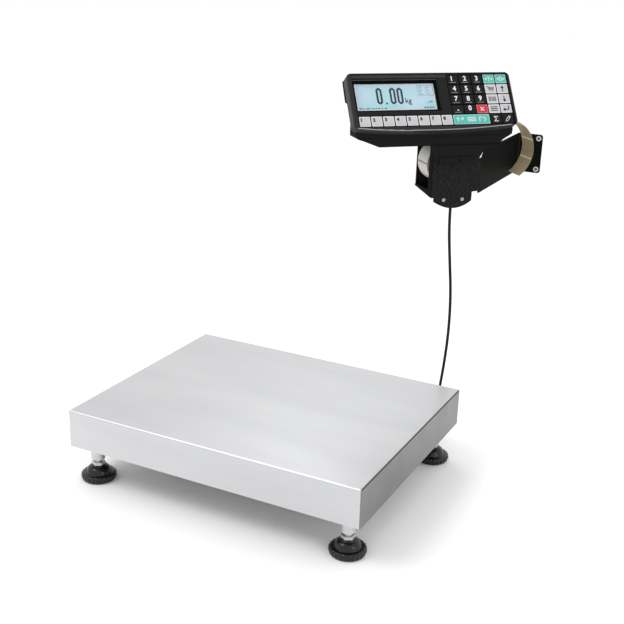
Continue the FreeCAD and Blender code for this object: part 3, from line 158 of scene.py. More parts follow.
class Shader:
    """A material's node tree with the few calls that the recipes below need."""

    def __init__(self, name, colour, roughness, metallic=0.0, **sockets):
        self.material = bpy.data.materials.new(name)
        self.material.use_nodes = True
        self.tree = self.material.node_tree
        self.bsdf = self.tree.nodes["Principled BSDF"]
        self.bsdf.inputs["Base Color"].default_value = (*colour, 1)
        self.bsdf.inputs["Roughness"].default_value = roughness
        self.bsdf.inputs["Metallic"].default_value = metallic
        for socket, value in sockets.items():
            self.bsdf.inputs[socket.replace("_", " ")].default_value = value
        self.coords = None

    def add(self, kind, **values):
        item = self.tree.nodes.new(kind)
        for name, value in values.items():
            setattr(item, name, value)
        return item

    def link(self, source, target):
        self.tree.links.new(source, target)

    def place(self, scale=(1, 1, 1)):
        """Object coordinates, in metres times scale."""
        if self.coords is None:
            self.coords = self.add("ShaderNodeTexCoord")
        mapping = self.add("ShaderNodeMapping")
        mapping.inputs["Scale"].default_value = scale
        self.link(self.coords.outputs["Object"], mapping.inputs["Vector"])
        return mapping.outputs["Vector"]

    def noise(self, scale, detail=2.0, roughness=0.5):
        """Noise with scale features a metre, one number or one for each axis."""
        item = self.add("ShaderNodeTexNoise")
        item.inputs["Scale"].default_value = 1.0
        item.inputs["Detail"].default_value = detail
        item.inputs["Roughness"].default_value = roughness
        along = scale if isinstance(scale, tuple) else (scale, scale, scale)
        self.link(self.place(along), item.inputs["Vector"])
        return item.outputs["Fac"]

    def remap(self, value, low, high, from_low=0.3, from_high=0.7):
        item = self.add("ShaderNodeMapRange")
        item.inputs["From Min"].default_value = from_low
        item.inputs["From Max"].default_value = from_high
        item.inputs["To Min"].default_value = low
        item.inputs["To Max"].default_value = high
        self.link(value, item.inputs["Value"])
        return item.outputs["Result"]

    def blend_colours(self, factor, first, second):
        """Mix of two colours, each given as a colour or as another node's output."""
        item = self.add("ShaderNodeMix", data_type="RGBA")
        self.link(factor, item.inputs[0])
        for colour, socket in ((first, item.inputs[6]), (second, item.inputs[7])):
            if isinstance(colour, tuple):
                socket.default_value = (*colour, 1)
            else:
                self.link(colour, socket)
        return item.outputs[2]

    def select(self, factor, first, second):
        """One of two values, by a factor from 0 to 1."""
        item = self.add("ShaderNodeMix", data_type="FLOAT")
        self.link(factor, item.inputs[0])
        self.link(first, item.inputs[2])
        self.link(second, item.inputs[3])
        return item.outputs[0]

    def colour(self, output):
        self.link(output, self.bsdf.inputs["Base Color"])

    def roughness(self, output):
        self.link(output, self.bsdf.inputs["Roughness"])

    def bump(self, height, strength, distance):
        item = self.add("ShaderNodeBump")
        item.inputs["Strength"].default_value = strength
        item.inputs["Distance"].default_value = distance
        self.link(height, item.inputs["Height"])
        self.link(item.outputs["Normal"], self.bsdf.inputs["Normal"])

    def facing(self, axis):
        """1 where the surface faces along an axis, by more than a share of 0.45, else 0."""
        geometry = self.add("ShaderNodeNewGeometry")
        split = self.add("ShaderNodeSeparateXYZ")
        self.link(geometry.outputs["Normal"], split.inputs[0])
        size = self.add("ShaderNodeMath", operation="ABSOLUTE")
        self.link(split.outputs[axis], size.inputs[0])
        step = self.add("ShaderNodeMath", operation="GREATER_THAN")
        self.link(size.outputs[0], step.inputs[0])
        step.inputs[1].default_value = 0.45
        return step.outputs[0]

    def toward(self, direction, start, full):
        """0 to 1 as the surface turns towards a direction of the object."""
        geometry = self.add("ShaderNodeNewGeometry")
        turned = self.add("ShaderNodeVectorMath", operation="DOT_PRODUCT")
        self.link(geometry.outputs["Normal"], turned.inputs[0])
        turned.inputs[1].default_value = Vector(direction).normalized()
        return self.remap(turned.outputs["Value"], 0, 1, start, full)


def brushed_steel():
    """Sheet brushed along x; the brushing turns down the folded end skirts, which are painted
    darker as painted shade, and a painted shadow line darkens the folded edge along the +x top.
    """
    steel = Shader("brushed_steel", (0.58, 0.58, 0.59), 0.36, 1.0)
    end = steel.facing(0)
    along = steel.noise((2.5, 900, 900), 3.0, 0.6)
    down = steel.noise((900, 900, 2.5), 3.0, 0.6)
    lines = steel.select(end, along, down)
    broad = steel.remap(steel.noise((3, 14, 14), 3.0), 0, 1)
    flat_tone = steel.blend_colours(broad, (0.555, 0.558, 0.568), (0.61, 0.613, 0.62))
    # painted shade: the end skirts, facing along x, get a much darker base
    end_painted_shade_tone = steel.blend_colours(broad, (0.203, 0.204, 0.208), (0.256, 0.257, 0.261))
    tone = steel.blend_colours(end, flat_tone, end_painted_shade_tone)
    # painted shadow: the fillet between the top and the +x skirt is painted near black
    fold_painted_shadow = steel.toward((1, 0, 1), 0.9, 0.98)
    steel.colour(steel.blend_colours(fold_painted_shadow, tone, (0.05, 0.05, 0.052)))
    steel.roughness(steel.remap(lines, 0.31, 0.43))
    steel.bump(lines, 0.05, 0.0001)
    return steel.material


def mill_steel():
    """Welded tube: dull, slightly mottled."""
    steel = Shader("mill_steel", (0.6, 0.6, 0.61), 0.42, 1.0)
    cloud = steel.noise(40, 4.0, 0.6)
    steel.roughness(steel.remap(cloud, 0.32, 0.52))
    steel.colour(steel.blend_colours(cloud, (0.52, 0.52, 0.53), (0.66, 0.66, 0.67)))
    steel.bump(steel.noise(900), 0.05, 0.0002)
    return steel.material


def machined_aluminium():
    """Milled bar, with its cutter marks along x."""
    metal = Shader("machined_aluminium", (0.76, 0.77, 0.78), 0.3, 1.0)
    marks = metal.noise((15, 1200, 1200))
    metal.roughness(metal.remap(marks, 0.24, 0.4))
    metal.bump(marks, 0.08, 0.0001)
    return metal.material


def grained_plastic(plastic, roughness, dark, light, grain, scale=1500):
    """Fine spark-eroded grain and cloudy gloss; gives the cloudy colour back."""
    cloud = plastic.noise(22, 3.0)
    plastic.roughness(plastic.remap(cloud, *roughness))
    plastic.bump(plastic.noise(scale), grain, 0.0002)
    return plastic.blend_colours(cloud, dark, light)


def moulded_plastic(name, colour, roughness, grain=0.12, scale=1500, gloss=0.08):
    """Satin moulded plastic or rubber."""
    plastic = Shader(name, colour, roughness, Specular_IOR_Level=gloss)
    lighter = tuple(channel * 1.35 for channel in colour)
    plastic.colour(grained_plastic(plastic, (roughness - 0.04, roughness + 0.05), colour,
                                   lighter, grain, scale))
    return plastic.material


def bezel_plastic():
    """Satin black front frame; a painted highlight lightens its rounded rim along its lower side.
    """
    plastic = Shader("bezel_plastic", (0.012, 0.012, 0.0125), 0.3, Specular_IOR_Level=0.1)
    body = grained_plastic(plastic, (0.26, 0.34), (0.019, 0.019, 0.0195),
                           (0.028, 0.028, 0.0285), 0.06)
    lower_rim = PANEL.to_3x3() @ Vector((0, -1, 0.75))
    # painted highlight: where the rim turns down and forward, the colour is raised to light grey
    lower_rim_highlight = plastic.toward(lower_rim, 0.93, 0.985)
    plastic.colour(plastic.blend_colours(lower_rim_highlight, body, (0.34, 0.34, 0.34)))
    return plastic.material


def powder_coat():
    """Black paint, with the coarse speckle of a textured coat on the plate's front; faces turned
    away from the front, such as the arm's side, are painted darker as painted shade.
    """
    paint = Shader("powder_coat", (0.01, 0.01, 0.01), 0.5, Specular_IOR_Level=0.01)
    speckle = paint.noise(520, 3.0, 0.65)
    coat = paint.blend_colours(paint.remap(speckle, 0, 1, 0.42, 0.68),
                               (0.009, 0.009, 0.0087), (0.031, 0.031, 0.0305))
    # painted shade: the darker coat for faces turned away from the front
    painted_shade_coat = paint.blend_colours(speckle, (0.0045, 0.0045, 0.0042), (0.0085, 0.0085, 0.008))
    front = paint.toward(TERMINAL.to_3x3() @ Vector((0, -1, 0)), 0.85, 0.95)
    paint.colour(paint.blend_colours(front, painted_shade_coat, coat))
    paint.roughness(paint.remap(speckle, 0.38, 0.62))
    paint.bump(speckle, 0.55, 0.0004)
    return paint.material


def velvet_film(film, dark, light):
    """Faint velvet texture of a printed film; gives its cloudy colour back."""
    film.bump(film.noise(2200), 0.08, 0.0001)
    return film.blend_colours(film.noise(60), dark, light)


def printed_film(name, colour, roughness=0.33, gloss=0.1, side_painted_shade=False):
    """Screen-printed film; a key's sides may be painted dark as painted shade."""
    film = Shader(name, colour, roughness, Specular_IOR_Level=gloss)
    tone = velvet_film(film, tuple(channel * 0.9 for channel in colour), colour)
    if side_painted_shade:
        # painted shade: faces turned away from the panel's front are painted near black
        face = film.toward(PANEL.to_3x3() @ Vector((0, 0, 1)), 0.6, 0.9)
        tone = film.blend_colours(face, (0.02, 0.02, 0.021), tone)
    film.colour(tone)
    return film.material


def keypad_film():
    """Black film whose top band, above the display, is painted a softer grey as a painted
    highlight of the lit bevel along the bezel's top.
    """
    film = Shader("overlay_black", (0.01, 0.01, 0.0105), 0.34, Specular_IOR_Level=0.12)
    black = velvet_film(film, (0.009, 0.009, 0.0095), (0.011, 0.011, 0.0115))
    # painted highlight: the lighter colour of the top band above the display
    grey = film.blend_colours(film.noise(60), (0.034, 0.034, 0.0345), (0.05, 0.05, 0.0505))
    up = PANEL.to_3x3() @ Vector((0, 1, 0))
    height = film.add("ShaderNodeVectorMath", operation="DOT_PRODUCT")
    film.link(film.place(), height.inputs[0])
    height.inputs[1].default_value = up
    foot = up.dot(PANEL.translation)
    border = film.remap(height.outputs["Value"], 0, 1, foot + 73.6 * MM, foot + 75.4 * MM)
    film.colour(film.blend_colours(border, black, grey))
    return film.material


def turned_metal(name, colour, roughness, metallic=1.0):
    """Plated or blackened hardware with fine turning marks and dull patches."""
    metal = Shader(name, colour, roughness, metallic)
    patches = metal.noise(180, 3.0)
    duller = tuple(channel * 0.8 for channel in colour)
    metal.colour(metal.blend_colours(patches, duller, colour))
    metal.roughness(metal.remap(patches, roughness - 0.06, roughness + 0.08))
    metal.bump(metal.noise((300, 300, 2600)), 0.08, 0.0001)
    return metal.material


def clear_window():
    """Clear acrylic with a faint haze from wiping."""
    pane = Shader("window_clear", (0.9, 0.95, 0.97), 0.05, Alpha=0.03)
    pane.roughness(pane.remap(pane.noise((50, 120, 50), 4.0, 0.6), 0.04, 0.12))
    return pane.material


def paper(name, colour):
    """Coated label paper, with the faint fibre of its sheet."""
    sheet = Shader(name, colour, 0.62)
    fibre = sheet.noise(700, 4.0, 0.6)
    warm = tuple(channel * factor for channel, factor in zip(colour, (0.95, 0.94, 0.9)))
    sheet.colour(sheet.blend_colours(fibre, warm, colour))
    sheet.bump(fibre, 0.1, 0.0002)
    return sheet.material


def backlit_glass():
    """Pale cyan display face with a soft unevenness of its backlight."""
    face = Shader("display_backlight", (0.33, 0.48, 0.56), 0.5, Specular_IOR_Level=0.2,
                  Emission_Strength=0.2)
    tint = face.blend_colours(face.remap(face.noise(22), 0, 1),
                              (0.28, 0.50, 0.54), (0.42, 0.51, 0.62))
    face.colour(tint)
    face.link(tint, face.bsdf.inputs["Emission Color"])
    return face.material


MATERIALS = {
    "steel": brushed_steel(),
    "mill": mill_steel(),
    "aluminium": machined_aluminium(),
    "bolt": turned_metal("zinc_bolt", (0.62, 0.62, 0.63), 0.32),
    "screw": turned_metal("bright_screw", (0.36, 0.36, 0.37), 0.34),
    "dark_screw": turned_metal("wall_screw", (0.13, 0.13, 0.135), 0.42, 0.6),
    "rubber": moulded_plastic("black_rubber", (0.02, 0.02, 0.02), 0.6, 0.2, 900),
    "foot": moulded_plastic("foot_plastic", (0.004, 0.004, 0.0045), 0.2, 0.04, 900, 0.4),
    "bezel": bezel_plastic(),
    "case": moulded_plastic("case_plastic", (0.010, 0.010, 0.0103), 0.55, 0.15, 1300, 0.01),
    "bracket": powder_coat(),
    "lead": moulded_plastic("lead_jacket", (0.012, 0.012, 0.013), 0.42, 0.08, 800),
    "washer": moulded_plastic("washer_white", (0.56, 0.56, 0.56), 0.4, 0.05, 900, 0.4),
    "window": clear_window(),
    "display": backlit_glass(),
    "ink": printed_film("display_ink", (0.002, 0.006, 0.02), 0.6, 0.05),
    "faint_ink": printed_film("display_faint_ink", (0.08, 0.17, 0.24), 0.6, 0.05),
    "overlay": keypad_film(),
    "pale": printed_film("key_pale", (0.52, 0.52, 0.54)),
    # the _edge materials also paint the keys' sides dark, as painted shade
    "pale_edge": printed_film("key_pale_edge", (0.74, 0.74, 0.76), side_painted_shade=True),
    "teal": printed_film("key_teal", (0.11, 0.46, 0.40)),
    "teal_edge": printed_film("key_teal_edge", (0.30, 0.70, 0.62), side_painted_shade=True),
    "red": printed_film("key_red", (0.55, 0.04, 0.055)),
    "red_edge": printed_film("key_red_edge", (0.72, 0.18, 0.20), side_painted_shade=True),
    "black": printed_film("key_black", (0.010, 0.010, 0.0105), 0.34, 0.12),
    "white": printed_film("print_white", (0.80, 0.80, 0.80)),
    "grey_print": printed_film("print_grey", (0.28, 0.28, 0.29)),
    "black_print": printed_film("print_black", (0.004, 0.004, 0.005)),
    # near-black film for the slopes of the window's recess: painted shade
    "mask": printed_film("display_recess_shade", (0.002, 0.002, 0.002), 0.7, 0.04),
    "paper": paper("label_paper", (0.60, 0.585, 0.575)),
    "wound": paper("wound_liner", (0.30, 0.26, 0.23)),
    "liner": paper("liner_back", (0.40, 0.33, 0.195)),
    # pale liner colour for the gaps between labels: painted light showing through the liner
    "liner_light": paper("liner_gap_painted_light", (0.78, 0.72, 0.53)),
    "board": moulded_plastic("solder_mask", (0.01, 0.12, 0.05), 0.35, 0.1, 700),
    "card": paper("core_card", (0.36, 0.25, 0.15)),
}

PALE_KEYS = [f"key_f{i}" for i in range(1, 9)] + [
    "key_cart", "key_up", "key_code", "key_down", "key_lookup", "key_enter"]
TEAL_KEYS = ["key_menu", "key_feed", "key_tare"]
BLACK_KEYS = [f"key_{i}" for i in range(10)] + ["key_point", "key_sum", "key_edit"]

NODE_MATERIALS = {
    "platter_cover": "steel", "top_frame": "mill", "base_frame": "mill",
    "load_cell": "aluminium", "load_cell_bolts": "bolt", "corner_buffers": "rubber",
    "wall_bracket": "bracket", "roll_box": "bracket", "wall_washers": "washer",
    "bracket_screws": "screw", "front_bezel": "bezel", "rear_housing": "case",
    "printer_housing": "case", "display_window": "window", "display_module": "display",
    "keypad_overlay": "overlay", "main_board": "board", "printer_frame": "mill",
    "print_head": "aluminium", "platen_roller": "rubber", "roll_spindle": "case",
    "cable_glands": "rubber", "key_clear": "red_edge",
    **{name: "pale_edge" for name in PALE_KEYS},
    **{name: "teal_edge" for name in TEAL_KEYS},
    **{name: "black" for name in BLACK_KEYS},
}


def dress_nodes():
    for name, material in NODE_MATERIALS.items():
        for slot in NODES[name].material_slots:
            slot.material = MATERIALS[material]


# ---------------------------------------------------------------------------
# Mesh helpers
# ---------------------------------------------------------------------------

def add_piece(name, vertices, faces, material, body, slot, place=WORLD, smooth=False):
    """A mesh piece, put in place by its vertices, that rides on a body."""
    data = bpy.data.meshes.new(name)
    data.from_pydata([place @ Vector(point) for point in vertices], [], faces)
    data.update()
    data.materials.append(MATERIALS[material])
    work = bmesh.new()
    work.from_mesh(data)
    bmesh.ops.recalc_face_normals(work, faces=work.faces)
    for face in work.faces:
        face.smooth = smooth
    work.to_mesh(data)
    work.free()
    piece = bpy.data.objects.new(name, data)
    bpy.context.scene.collection.objects.link(piece)
    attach(piece, body)
    return piece


CAPITAL_SHARE = 0.73    # a capital's height as a share of the typeface's size


def in_metres(points):
    return [tuple(value * MM for value in point) for point in points]


def cut_rectangle(x, y, width, height, inset, cut):
    """Outline inside a rectangle, with its corners cut off."""
    low_x, low_y = x + inset, y + inset
    high_x, high_y = x + width - inset, y + height - inset
    return [(low_x + cut, low_y), (high_x - cut, low_y), (high_x, low_y + cut),
            (high_x, high_y - cut), (high_x - cut, high_y), (low_x + cut, high_y),
            (low_x, high_y - cut), (low_x, low_y + cut)]


class Print:
    """Flat printed marks on one face: polygons gathered into one thin closed mesh."""

    def __init__(self, level, thickness):
        self.level = level
        self.thickness = thickness
        self.vertices = []
        self.faces = []

    def polygon(self, points):
        """A flat plate over a convex or simple outline."""
        start = len(self.vertices)
        count = len(points)
        for lift in (0.0, self.thickness):
            self.vertices += [(x, y, self.level + lift) for x, y in points]
        self.faces.append(tuple(start + i for i in range(count))[::-1])
        self.faces.append(tuple(start + count + i for i in range(count)))
        for i in range(count):
            j = (i + 1) % count
            self.faces.append((start + i, start + j, start + count + j, start + count + i))

    def bar(self, x, y, width, height):
        """Rectangle from its lower left corner."""
        self.polygon([(x, y), (x + width, y), (x + width, y + height), (x, y + height)])

    def stroke(self, points, width):
        """Straight strokes of one width along open points."""
        for (ax, ay), (bx, by) in zip(points, points[1:]):
            length = math.hypot(bx - ax, by - ay)
            ux, uy = (bx - ax) / length * width / 2, (by - ay) / length * width / 2
            self.polygon([(ax - ux - uy, ay - uy + ux), (ax - ux + uy, ay - uy - ux),
                          (bx + ux + uy, by + uy - ux), (bx + ux - uy, by + uy + ux)])

    def ring(self, x, y, width, height, line, corner):
        """A closed stroke round a rectangle with cut corners, as an LCD zero is."""
        outer = cut_rectangle(x, y, width, height, 0.0, corner)
        inner = cut_rectangle(x, y, width, height, line, corner - line * 0.6)
        for i in range(8):
            j = (i + 1) % 8
            self.polygon([outer[i], outer[j], inner[j], inner[i]])

    def text(self, words, x, y, height, stretch=1.0, bold=0.0):
        """Digits or signs in the built-in typeface, from their lower left corner."""
        curve = bpy.data.curves.new("letters", "FONT")
        curve.body = words
        curve.size = height / CAPITAL_SHARE
        curve.offset = bold * height
        curve.resolution_u = 3
        letters = bpy.data.objects.new("letters", curve)
        bpy.context.scene.collection.objects.link(letters)
        bpy.context.view_layer.update()
        shape = bpy.data.meshes.new_from_object(letters)
        bpy.data.objects.remove(letters)
        bpy.data.curves.remove(curve)
        left = min(vertex.co.x for vertex in shape.vertices)
        low = min(vertex.co.y for vertex in shape.vertices)
        start = len(self.vertices)
        count = len(shape.vertices)
        for lift in (0.0, self.thickness):
            self.vertices += [(x + (vertex.co.x - left) * stretch, y + vertex.co.y - low,
                               self.level + lift) for vertex in shape.vertices]
        edge_uses = {}
        for polygon in shape.polygons:
            corners = list(polygon.vertices)
            self.faces.append(tuple(start + i for i in corners)[::-1])
            self.faces.append(tuple(start + count + i for i in corners))
            for a, b in zip(corners, corners[1:] + corners[:1]):
                edge_uses.setdefault(frozenset((a, b)), []).append((a, b))
        for uses in edge_uses.values():
            if len(uses) == 1:
                a, b = uses[0]
                self.faces.append((start + a, start + b, start + count + b, start + count + a))
        bpy.data.meshes.remove(shape)

    def make(self, name, material, body, slot, place=PANEL):
        add_piece(name, in_metres(self.vertices), self.faces, material, body, slot, place)


# ---------------------------------------------------------------------------
# Keys and their printed marks, in millimetres on the panel
# ---------------------------------------------------------------------------

PRINT_LIFT = 0.02
PRINT_THICKNESS = 0.05
PLATE_CORNER = 1.2


def key_area(key):
    """Left, low, width and height of a key's face on the panel."""
    low, high = box_in(key, PANEL)
    return low.x / MM, low.y / MM, (high.x - low.x) / MM, (high.y - low.y) / MM


def plate_on_key(key, inset, material, slot):
    """The darker printed middle of a key that has a light border."""
    left, low, width, height = key_area(key)
    margin = inset + PLATE_CORNER
    outline = []
    for across, up, start in ((width - margin, margin, -90), (width - margin, height - margin, 0),
                              (margin, height - margin, 90), (margin, margin, 180)):
        for step in range(4):
            angle = math.radians(start + step * 30)
            outline.append((left + across + PLATE_CORNER * math.cos(angle),
                            low + up + PLATE_CORNER * math.sin(angle)))
    plate = Print(PRINT_LIFT, PRINT_THICKNESS)
    plate.polygon(outline)
    plate.make(key + "_face", material, key, slot)


def print_digit(key, digit, size, across, up, material, slot, bold=0.035):
    """One digit, across and up from the key's lower left corner."""
    left, low = key_area(key)[:2]
    marks = Print(PRINT_LIFT + PRINT_THICKNESS, PRINT_THICKNESS)
    marks.text(digit, left + across, low + up, size, bold=bold)
    marks.make(key + "_digit", material, key, slot)


def print_caption(key, count=3):
    """Short dashes under a number, in place of the small letters of the real key."""
    left, low, width = key_area(key)[:3]
    marks = Print(PRINT_LIFT, PRINT_THICKNESS)
    dash, gap = 2.9, 0.9
    start = left + (width - count * dash - (count - 1) * gap) / 2 - 0.5
    for i in range(count):
        marks.bar(start + i * (dash + gap), low + 1.9, dash, 1.1)
    marks.make(key + "_caption", "grey_print", key, "key_black")


def print_icon(key, strokes, line, material, slot):
    """Strokes given from the middle of the key."""
    left, low, width, height = key_area(key)
    marks = Print(PRINT_LIFT + PRINT_THICKNESS, PRINT_THICKNESS)
    for points in strokes:
        marks.stroke([(left + width / 2 + x, low + height / 2 + y) for x, y in points], line)
    marks.make(key + "_icon", material, key, slot)


CART = [[(-6, 4), (-4, 4), (-2.4, -1.6), (4.2, -1.6)], [(-3.5, 2.4), (5.6, 2.4), (4.4, -0.2)],
        [(-2, -4), (-1.2, -4)], [(3.2, -4), (4, -4)], [(-2.8, 0.6), (4.8, 0.6)]]
ARROW_UP = [[(0, -4.6), (0, 3.4)], [(-1.9, 1.6), (0, 4.4), (1.9, 1.6)]]
ARROW_DOWN = [[(x, -y) for x, y in points] for points in ARROW_UP]
CODE = [[(x, -3.6), (x, 3.6)] for x in (-6, -4.4, -3, -0.8, 1.4, 2.6, 4.6, 6)]
LINES = [[(-5.6, y), (5.6, y)] for y in (3, 0, -3)]
ENTER = [[(4.6, 4.2), (4.6, 0), (3.2, -1.8), (-4, -1.8)], [(-2, 0.4), (-4.6, -1.8), (-2, -4)]]
SIGMA = [[(3.2, 3), (3.2, 4), (-3.2, 4), (0.6, 0), (-3.2, -4), (3.2, -4), (3.2, -3)]]
PENCIL = [[(-4.4, -4.8), (-3.6, -1.8), (2.6, 4.6), (4.8, 2.4), (-1.4, -4), (-4.4, -4.8)],
          [(1.2, 3.2), (3.4, 1)]]
POINTERS = [[(side * 5, 1.5), (side * 3.4, 0), (side * 5, -1.5)] for side in (-1, 1)]
TARE = [[(-2.6, 3.2), (2.6, 3.2)], [(0, 3.2), (0, -3.6)], [(-7, 0), (-3.6, 0)],
        [(7, 0), (3.6, 0)]] + POINTERS
ZERO = [[(-1.8, 3.2), (1.8, 3.2), (1.8, -3.2), (-1.8, -3.2), (-1.8, 3.2)],
        [(-7, 0), (-3.4, 0)], [(7, 0), (3.4, 0)]] + POINTERS
CROSS = [[(-2.6, -2.6), (2.6, 2.6)], [(-2.6, 2.6), (2.6, -2.6)]]
MENU = [[(-24, 3.4), (-24, -3.4)], [(-26, 1.4), (-24, 3.6), (-22, 1.4)],
        [(-19, -1), (-15, 3)], [(-17.6, 3.2), (-14.8, 3.2), (-14.8, 0.4)],
        [(-7, 2.8), (7, 2.8)], [(-7, 0), (7, 0)], [(-7, -2.8), (7, -2.8)],
        [(14, -3.4), (14, 3.4), (18, 3.4)], [(22, -3.6), (25, -0.6), (23.6, 3.2), (20.6, 2.4)]]


def dress_keys():
    """Printed faces, digits and signs; each rides on its own key."""
    for key in PALE_KEYS:
        plate_on_key(key, 1.1, "pale", "key_pale" if "_f" in key else "key_grey")
    for key in TEAL_KEYS:
        plate_on_key(key, 1.1, "teal", "key_teal")
    plate_on_key("key_clear", 1.0, "red", "key_red")
    for i in range(1, 9):
        up = key_area(f"key_f{i}")[3] - 8.4
        print_digit(f"key_f{i}", str(i), 5.6, 2.6, up, "black_print", "key_black", 0.075)
    for i in range(10):
        print_digit(f"key_{i}", str(i), 8.4, 6.9, 5.2, "white", "key_pale")
        if i:
            print_caption(f"key_{i}")
    print_icon("key_point", [[(-0.7, -1.4), (0.7, -1.4)]], 1.6, "white", "key_pale")
    print_caption("key_point")
    for key, strokes, line in (
            ("key_cart", CART, 1.0), ("key_up", ARROW_UP, 1.5), ("key_code", CODE, 0.8),
            ("key_down", ARROW_DOWN, 1.5), ("key_lookup", LINES, 1.3),
            ("key_enter", ENTER, 1.5)):
        print_icon(key, strokes, line, "black_print", "key_black")
    for key, strokes, line in (
            ("key_sum", SIGMA, 1.1), ("key_edit", PENCIL, 0.8), ("key_feed", TARE, 0.9),
            ("key_tare", ZERO, 0.9), ("key_clear", CROSS, 1.3), ("key_menu", MENU, 1.1)):
        print_icon(key, strokes, line, "white", "key_pale")


# ---------------------------------------------------------------------------
# Display contents
# ---------------------------------------------------------------------------

WINDOW_HIDDEN = 2    # of the window's edge, under the near-black sheet of painted shade on the recess's slopes


def window_area():
    """Left, low, right, high and front of the window's clear part, on the panel."""
    low, high = box_in("display_window", PANEL)
    return (low.x / MM + WINDOW_HIDDEN, low.y / MM + WINDOW_HIDDEN,
            high.x / MM - WINDOW_HIDDEN, high.y / MM - WINDOW_HIDDEN, high.z / MM)


def make_display_mask():
    """Near-black sheet on the four slopes between the keypad film and the window: painted shade
    in the window's recess.
    """
    left, low, right, high, front = window_area()
    recess_shade_corners = []
    for spread, level in ((0.0, front + 0.05), (4.0, -1.3), (3.7, -1.25), (-0.3, front + 0.05)):
        recess_shade_corners += [(left - spread, low - spread, level), (right + spread, low - spread, level),
                   (right + spread, high + spread, level), (left - spread, high + spread, level)]
    faces = []
    for ring in range(4):
        for side in range(4):
            after = (side + 1) % 4
            a, b = 4 * ring, 4 * ((ring + 1) % 4)
            faces.append((a + side, a + after, b + after, b + side))
    add_piece("display_recess_shade", in_metres(recess_shade_corners), faces, "mask", ROOT, "overlay_film", PANEL)


def frame_bars(marks, x, y, width, height, left, low, right, top):
    """Four bars along the inside of a rectangle, each of its own breadth."""
    marks.bar(x, y + height - top, width, top)
    marks.bar(x, y, width, low)
    marks.bar(x, y + low, left, height - low - top)
    marks.bar(x + width - right, y + low, right, height - low - top)


def dress_display():
    """A large zero weight, a unit sign, a status box and faint bars."""
    level = box_in("display_module", PANEL)[1].z / MM + 0.02
    left, low, right, high = window_area()[:4]
    big = Print(level, 0.04)
    for x in (35.6, 58.6, 71.0):
        big.ring(left + x, low + 11.2, 10.2, 28, 3.5, 3.4)
    big.bar(left + 50.4, low + 11.2, 2.8, 2.8)
    big.text("kg", left + 84, low + 9.4, 9.6, 0.95, 0.02)
    big.make("display_figures", "ink", ROOT, "display_face")
    small = Print(level, 0.04)
    box_x, box_y = right - 29, high - 21
    frame_bars(small, box_x, box_y, 27.5, 18.5, 0.5, 0.5, 0.5, 0.5)
    for row, figures in enumerate(("0.020", "20.0", "0.00")):
        foot = box_y + row * 5.4
        small.text(figures, box_x + 13.5, foot + 2.2, 3.2, 0.9)
        small.bar(box_x + 2, foot + 2.4, 8 - row * 2, 0.8)
        small.bar(box_x + 2, foot + 4.4, 5 + row, 0.6)
    small.bar(right - 18, low + 12.2, 12, 0.5)
    small.bar(right - 12, low + 14.2, 7, 1.6)
    for i in range(9):
        small.bar(left + 4 + i * 5.2 + (i % 3) * 0.5, low + 2.9, 3.6 - (i % 2), 2.4)
    for i in range(4):
        small.bar(right - 22 + i * 4.6, low + 3.2, 3.4, 2.6)
    small.make("display_small_marks", "faint_ink", ROOT, "display_face")
    # painted light: plain white bars just inside the window's edge for the bright rim of the
    # display
    rim = Print(level - 0.005, 0.02)
    frame_bars(rim, left, low, right - left, high - low, 2, 2.2, 1.6, 1.6)
    rim.make("display_rim_light", "white", ROOT, "display_face")


# ---------------------------------------------------------------------------
# Feet
# ---------------------------------------------------------------------------

def lathe(name, profile, segments, material, body, slot, place, wave=None, smooth=True):
    """Turn a profile of (radius, height) about z; wave(radius, height, angle) reshapes it."""
    vertices, faces = [], []
    rings = []
    for radius, height in profile:
        if radius == 0:
            rings.append([len(vertices)])
            vertices.append((0, 0, height))
            continue
        ring = []
        for i in range(segments):
            angle = 2 * math.pi * i / segments
            reach = wave(radius, height, angle) if wave else radius
            ring.append(len(vertices))
            vertices.append((reach * math.cos(angle), reach * math.sin(angle), height))
        rings.append(ring)
    for lower, upper in zip(rings, rings[1:]):
        for i in range(segments):
            j = (i + 1) % segments
            if len(lower) == 1:
                faces.append((lower[0], upper[j], upper[i]))
            elif len(upper) == 1:
                faces.append((lower[i], lower[j], upper[0]))
            else:
                faces.append((lower[i], lower[j], upper[j], upper[i]))
    return add_piece(name, vertices, faces, material, body, slot, place, smooth)


FOOT_PROFILE = [(0, 0), (24.5, 0), (26.6, 0.8), (27.4, 2.6), (28.2, 5), (28.4, 8.5), (27.4, 10.6),
                (25.4, 11.6), (22.6, 12.2), (21.4, 12.4), (20.8, 12.0), (20.2, 12.2),
                (19.8, 13.6), (19.0, 16.2), (17.4, 19.2), (15.4, 21.4), (13.6, 22.6),
                (12.4, 23.0), (12.0, 23.6), (11.6, 24.8), (10.6, 25.2), (0, 25.2)]
FOOT_EDGE = 28.4
FOOT_LOBES = 24
NUT_PROFILE = [(0, 25), (9.2, 25), (9.7, 25.8), (9.7, 30.2), (9.0, 31), (0, 31)]
NUT_CORNER = 10.9
STUD_RADIUS = 5.95
STUD_PITCH = 1.75
THREAD_ROOT = 0.86    # the root's radius as a share of the thread's


def foot_wave(edge):
    """Rounded lobes round the pad's outer edge, fading inwards."""
    def reach(radius, _height, angle):
        share = max(0.0, min(1.0, (radius / edge - 0.9) / 0.08))
        return radius - 0.045 * edge * share * (0.5 - 0.5 * math.cos(FOOT_LOBES * angle))
    return reach


def hexagon(radius, _height, angle):
    """A nut's six flats, with its corners turned off."""
    turn = (angle + math.pi / 6) % (math.pi / 3) - math.pi / 6
    return min(radius / math.cos(turn), NUT_CORNER * MM)


def thread_profile(radius, start, stop, pitch):
    """Sides of a screw thread, as rings."""
    root = radius * THREAD_ROOT
    profile = [(0, start), (root, start)]
    height = start
    while height + pitch <= stop:
        profile += [(root, height + pitch * 0.15), (radius, height + pitch * 0.5),
                    (root, height + pitch * 0.85)]
        height += pitch
    return profile + [(root, stop), (0, stop)]


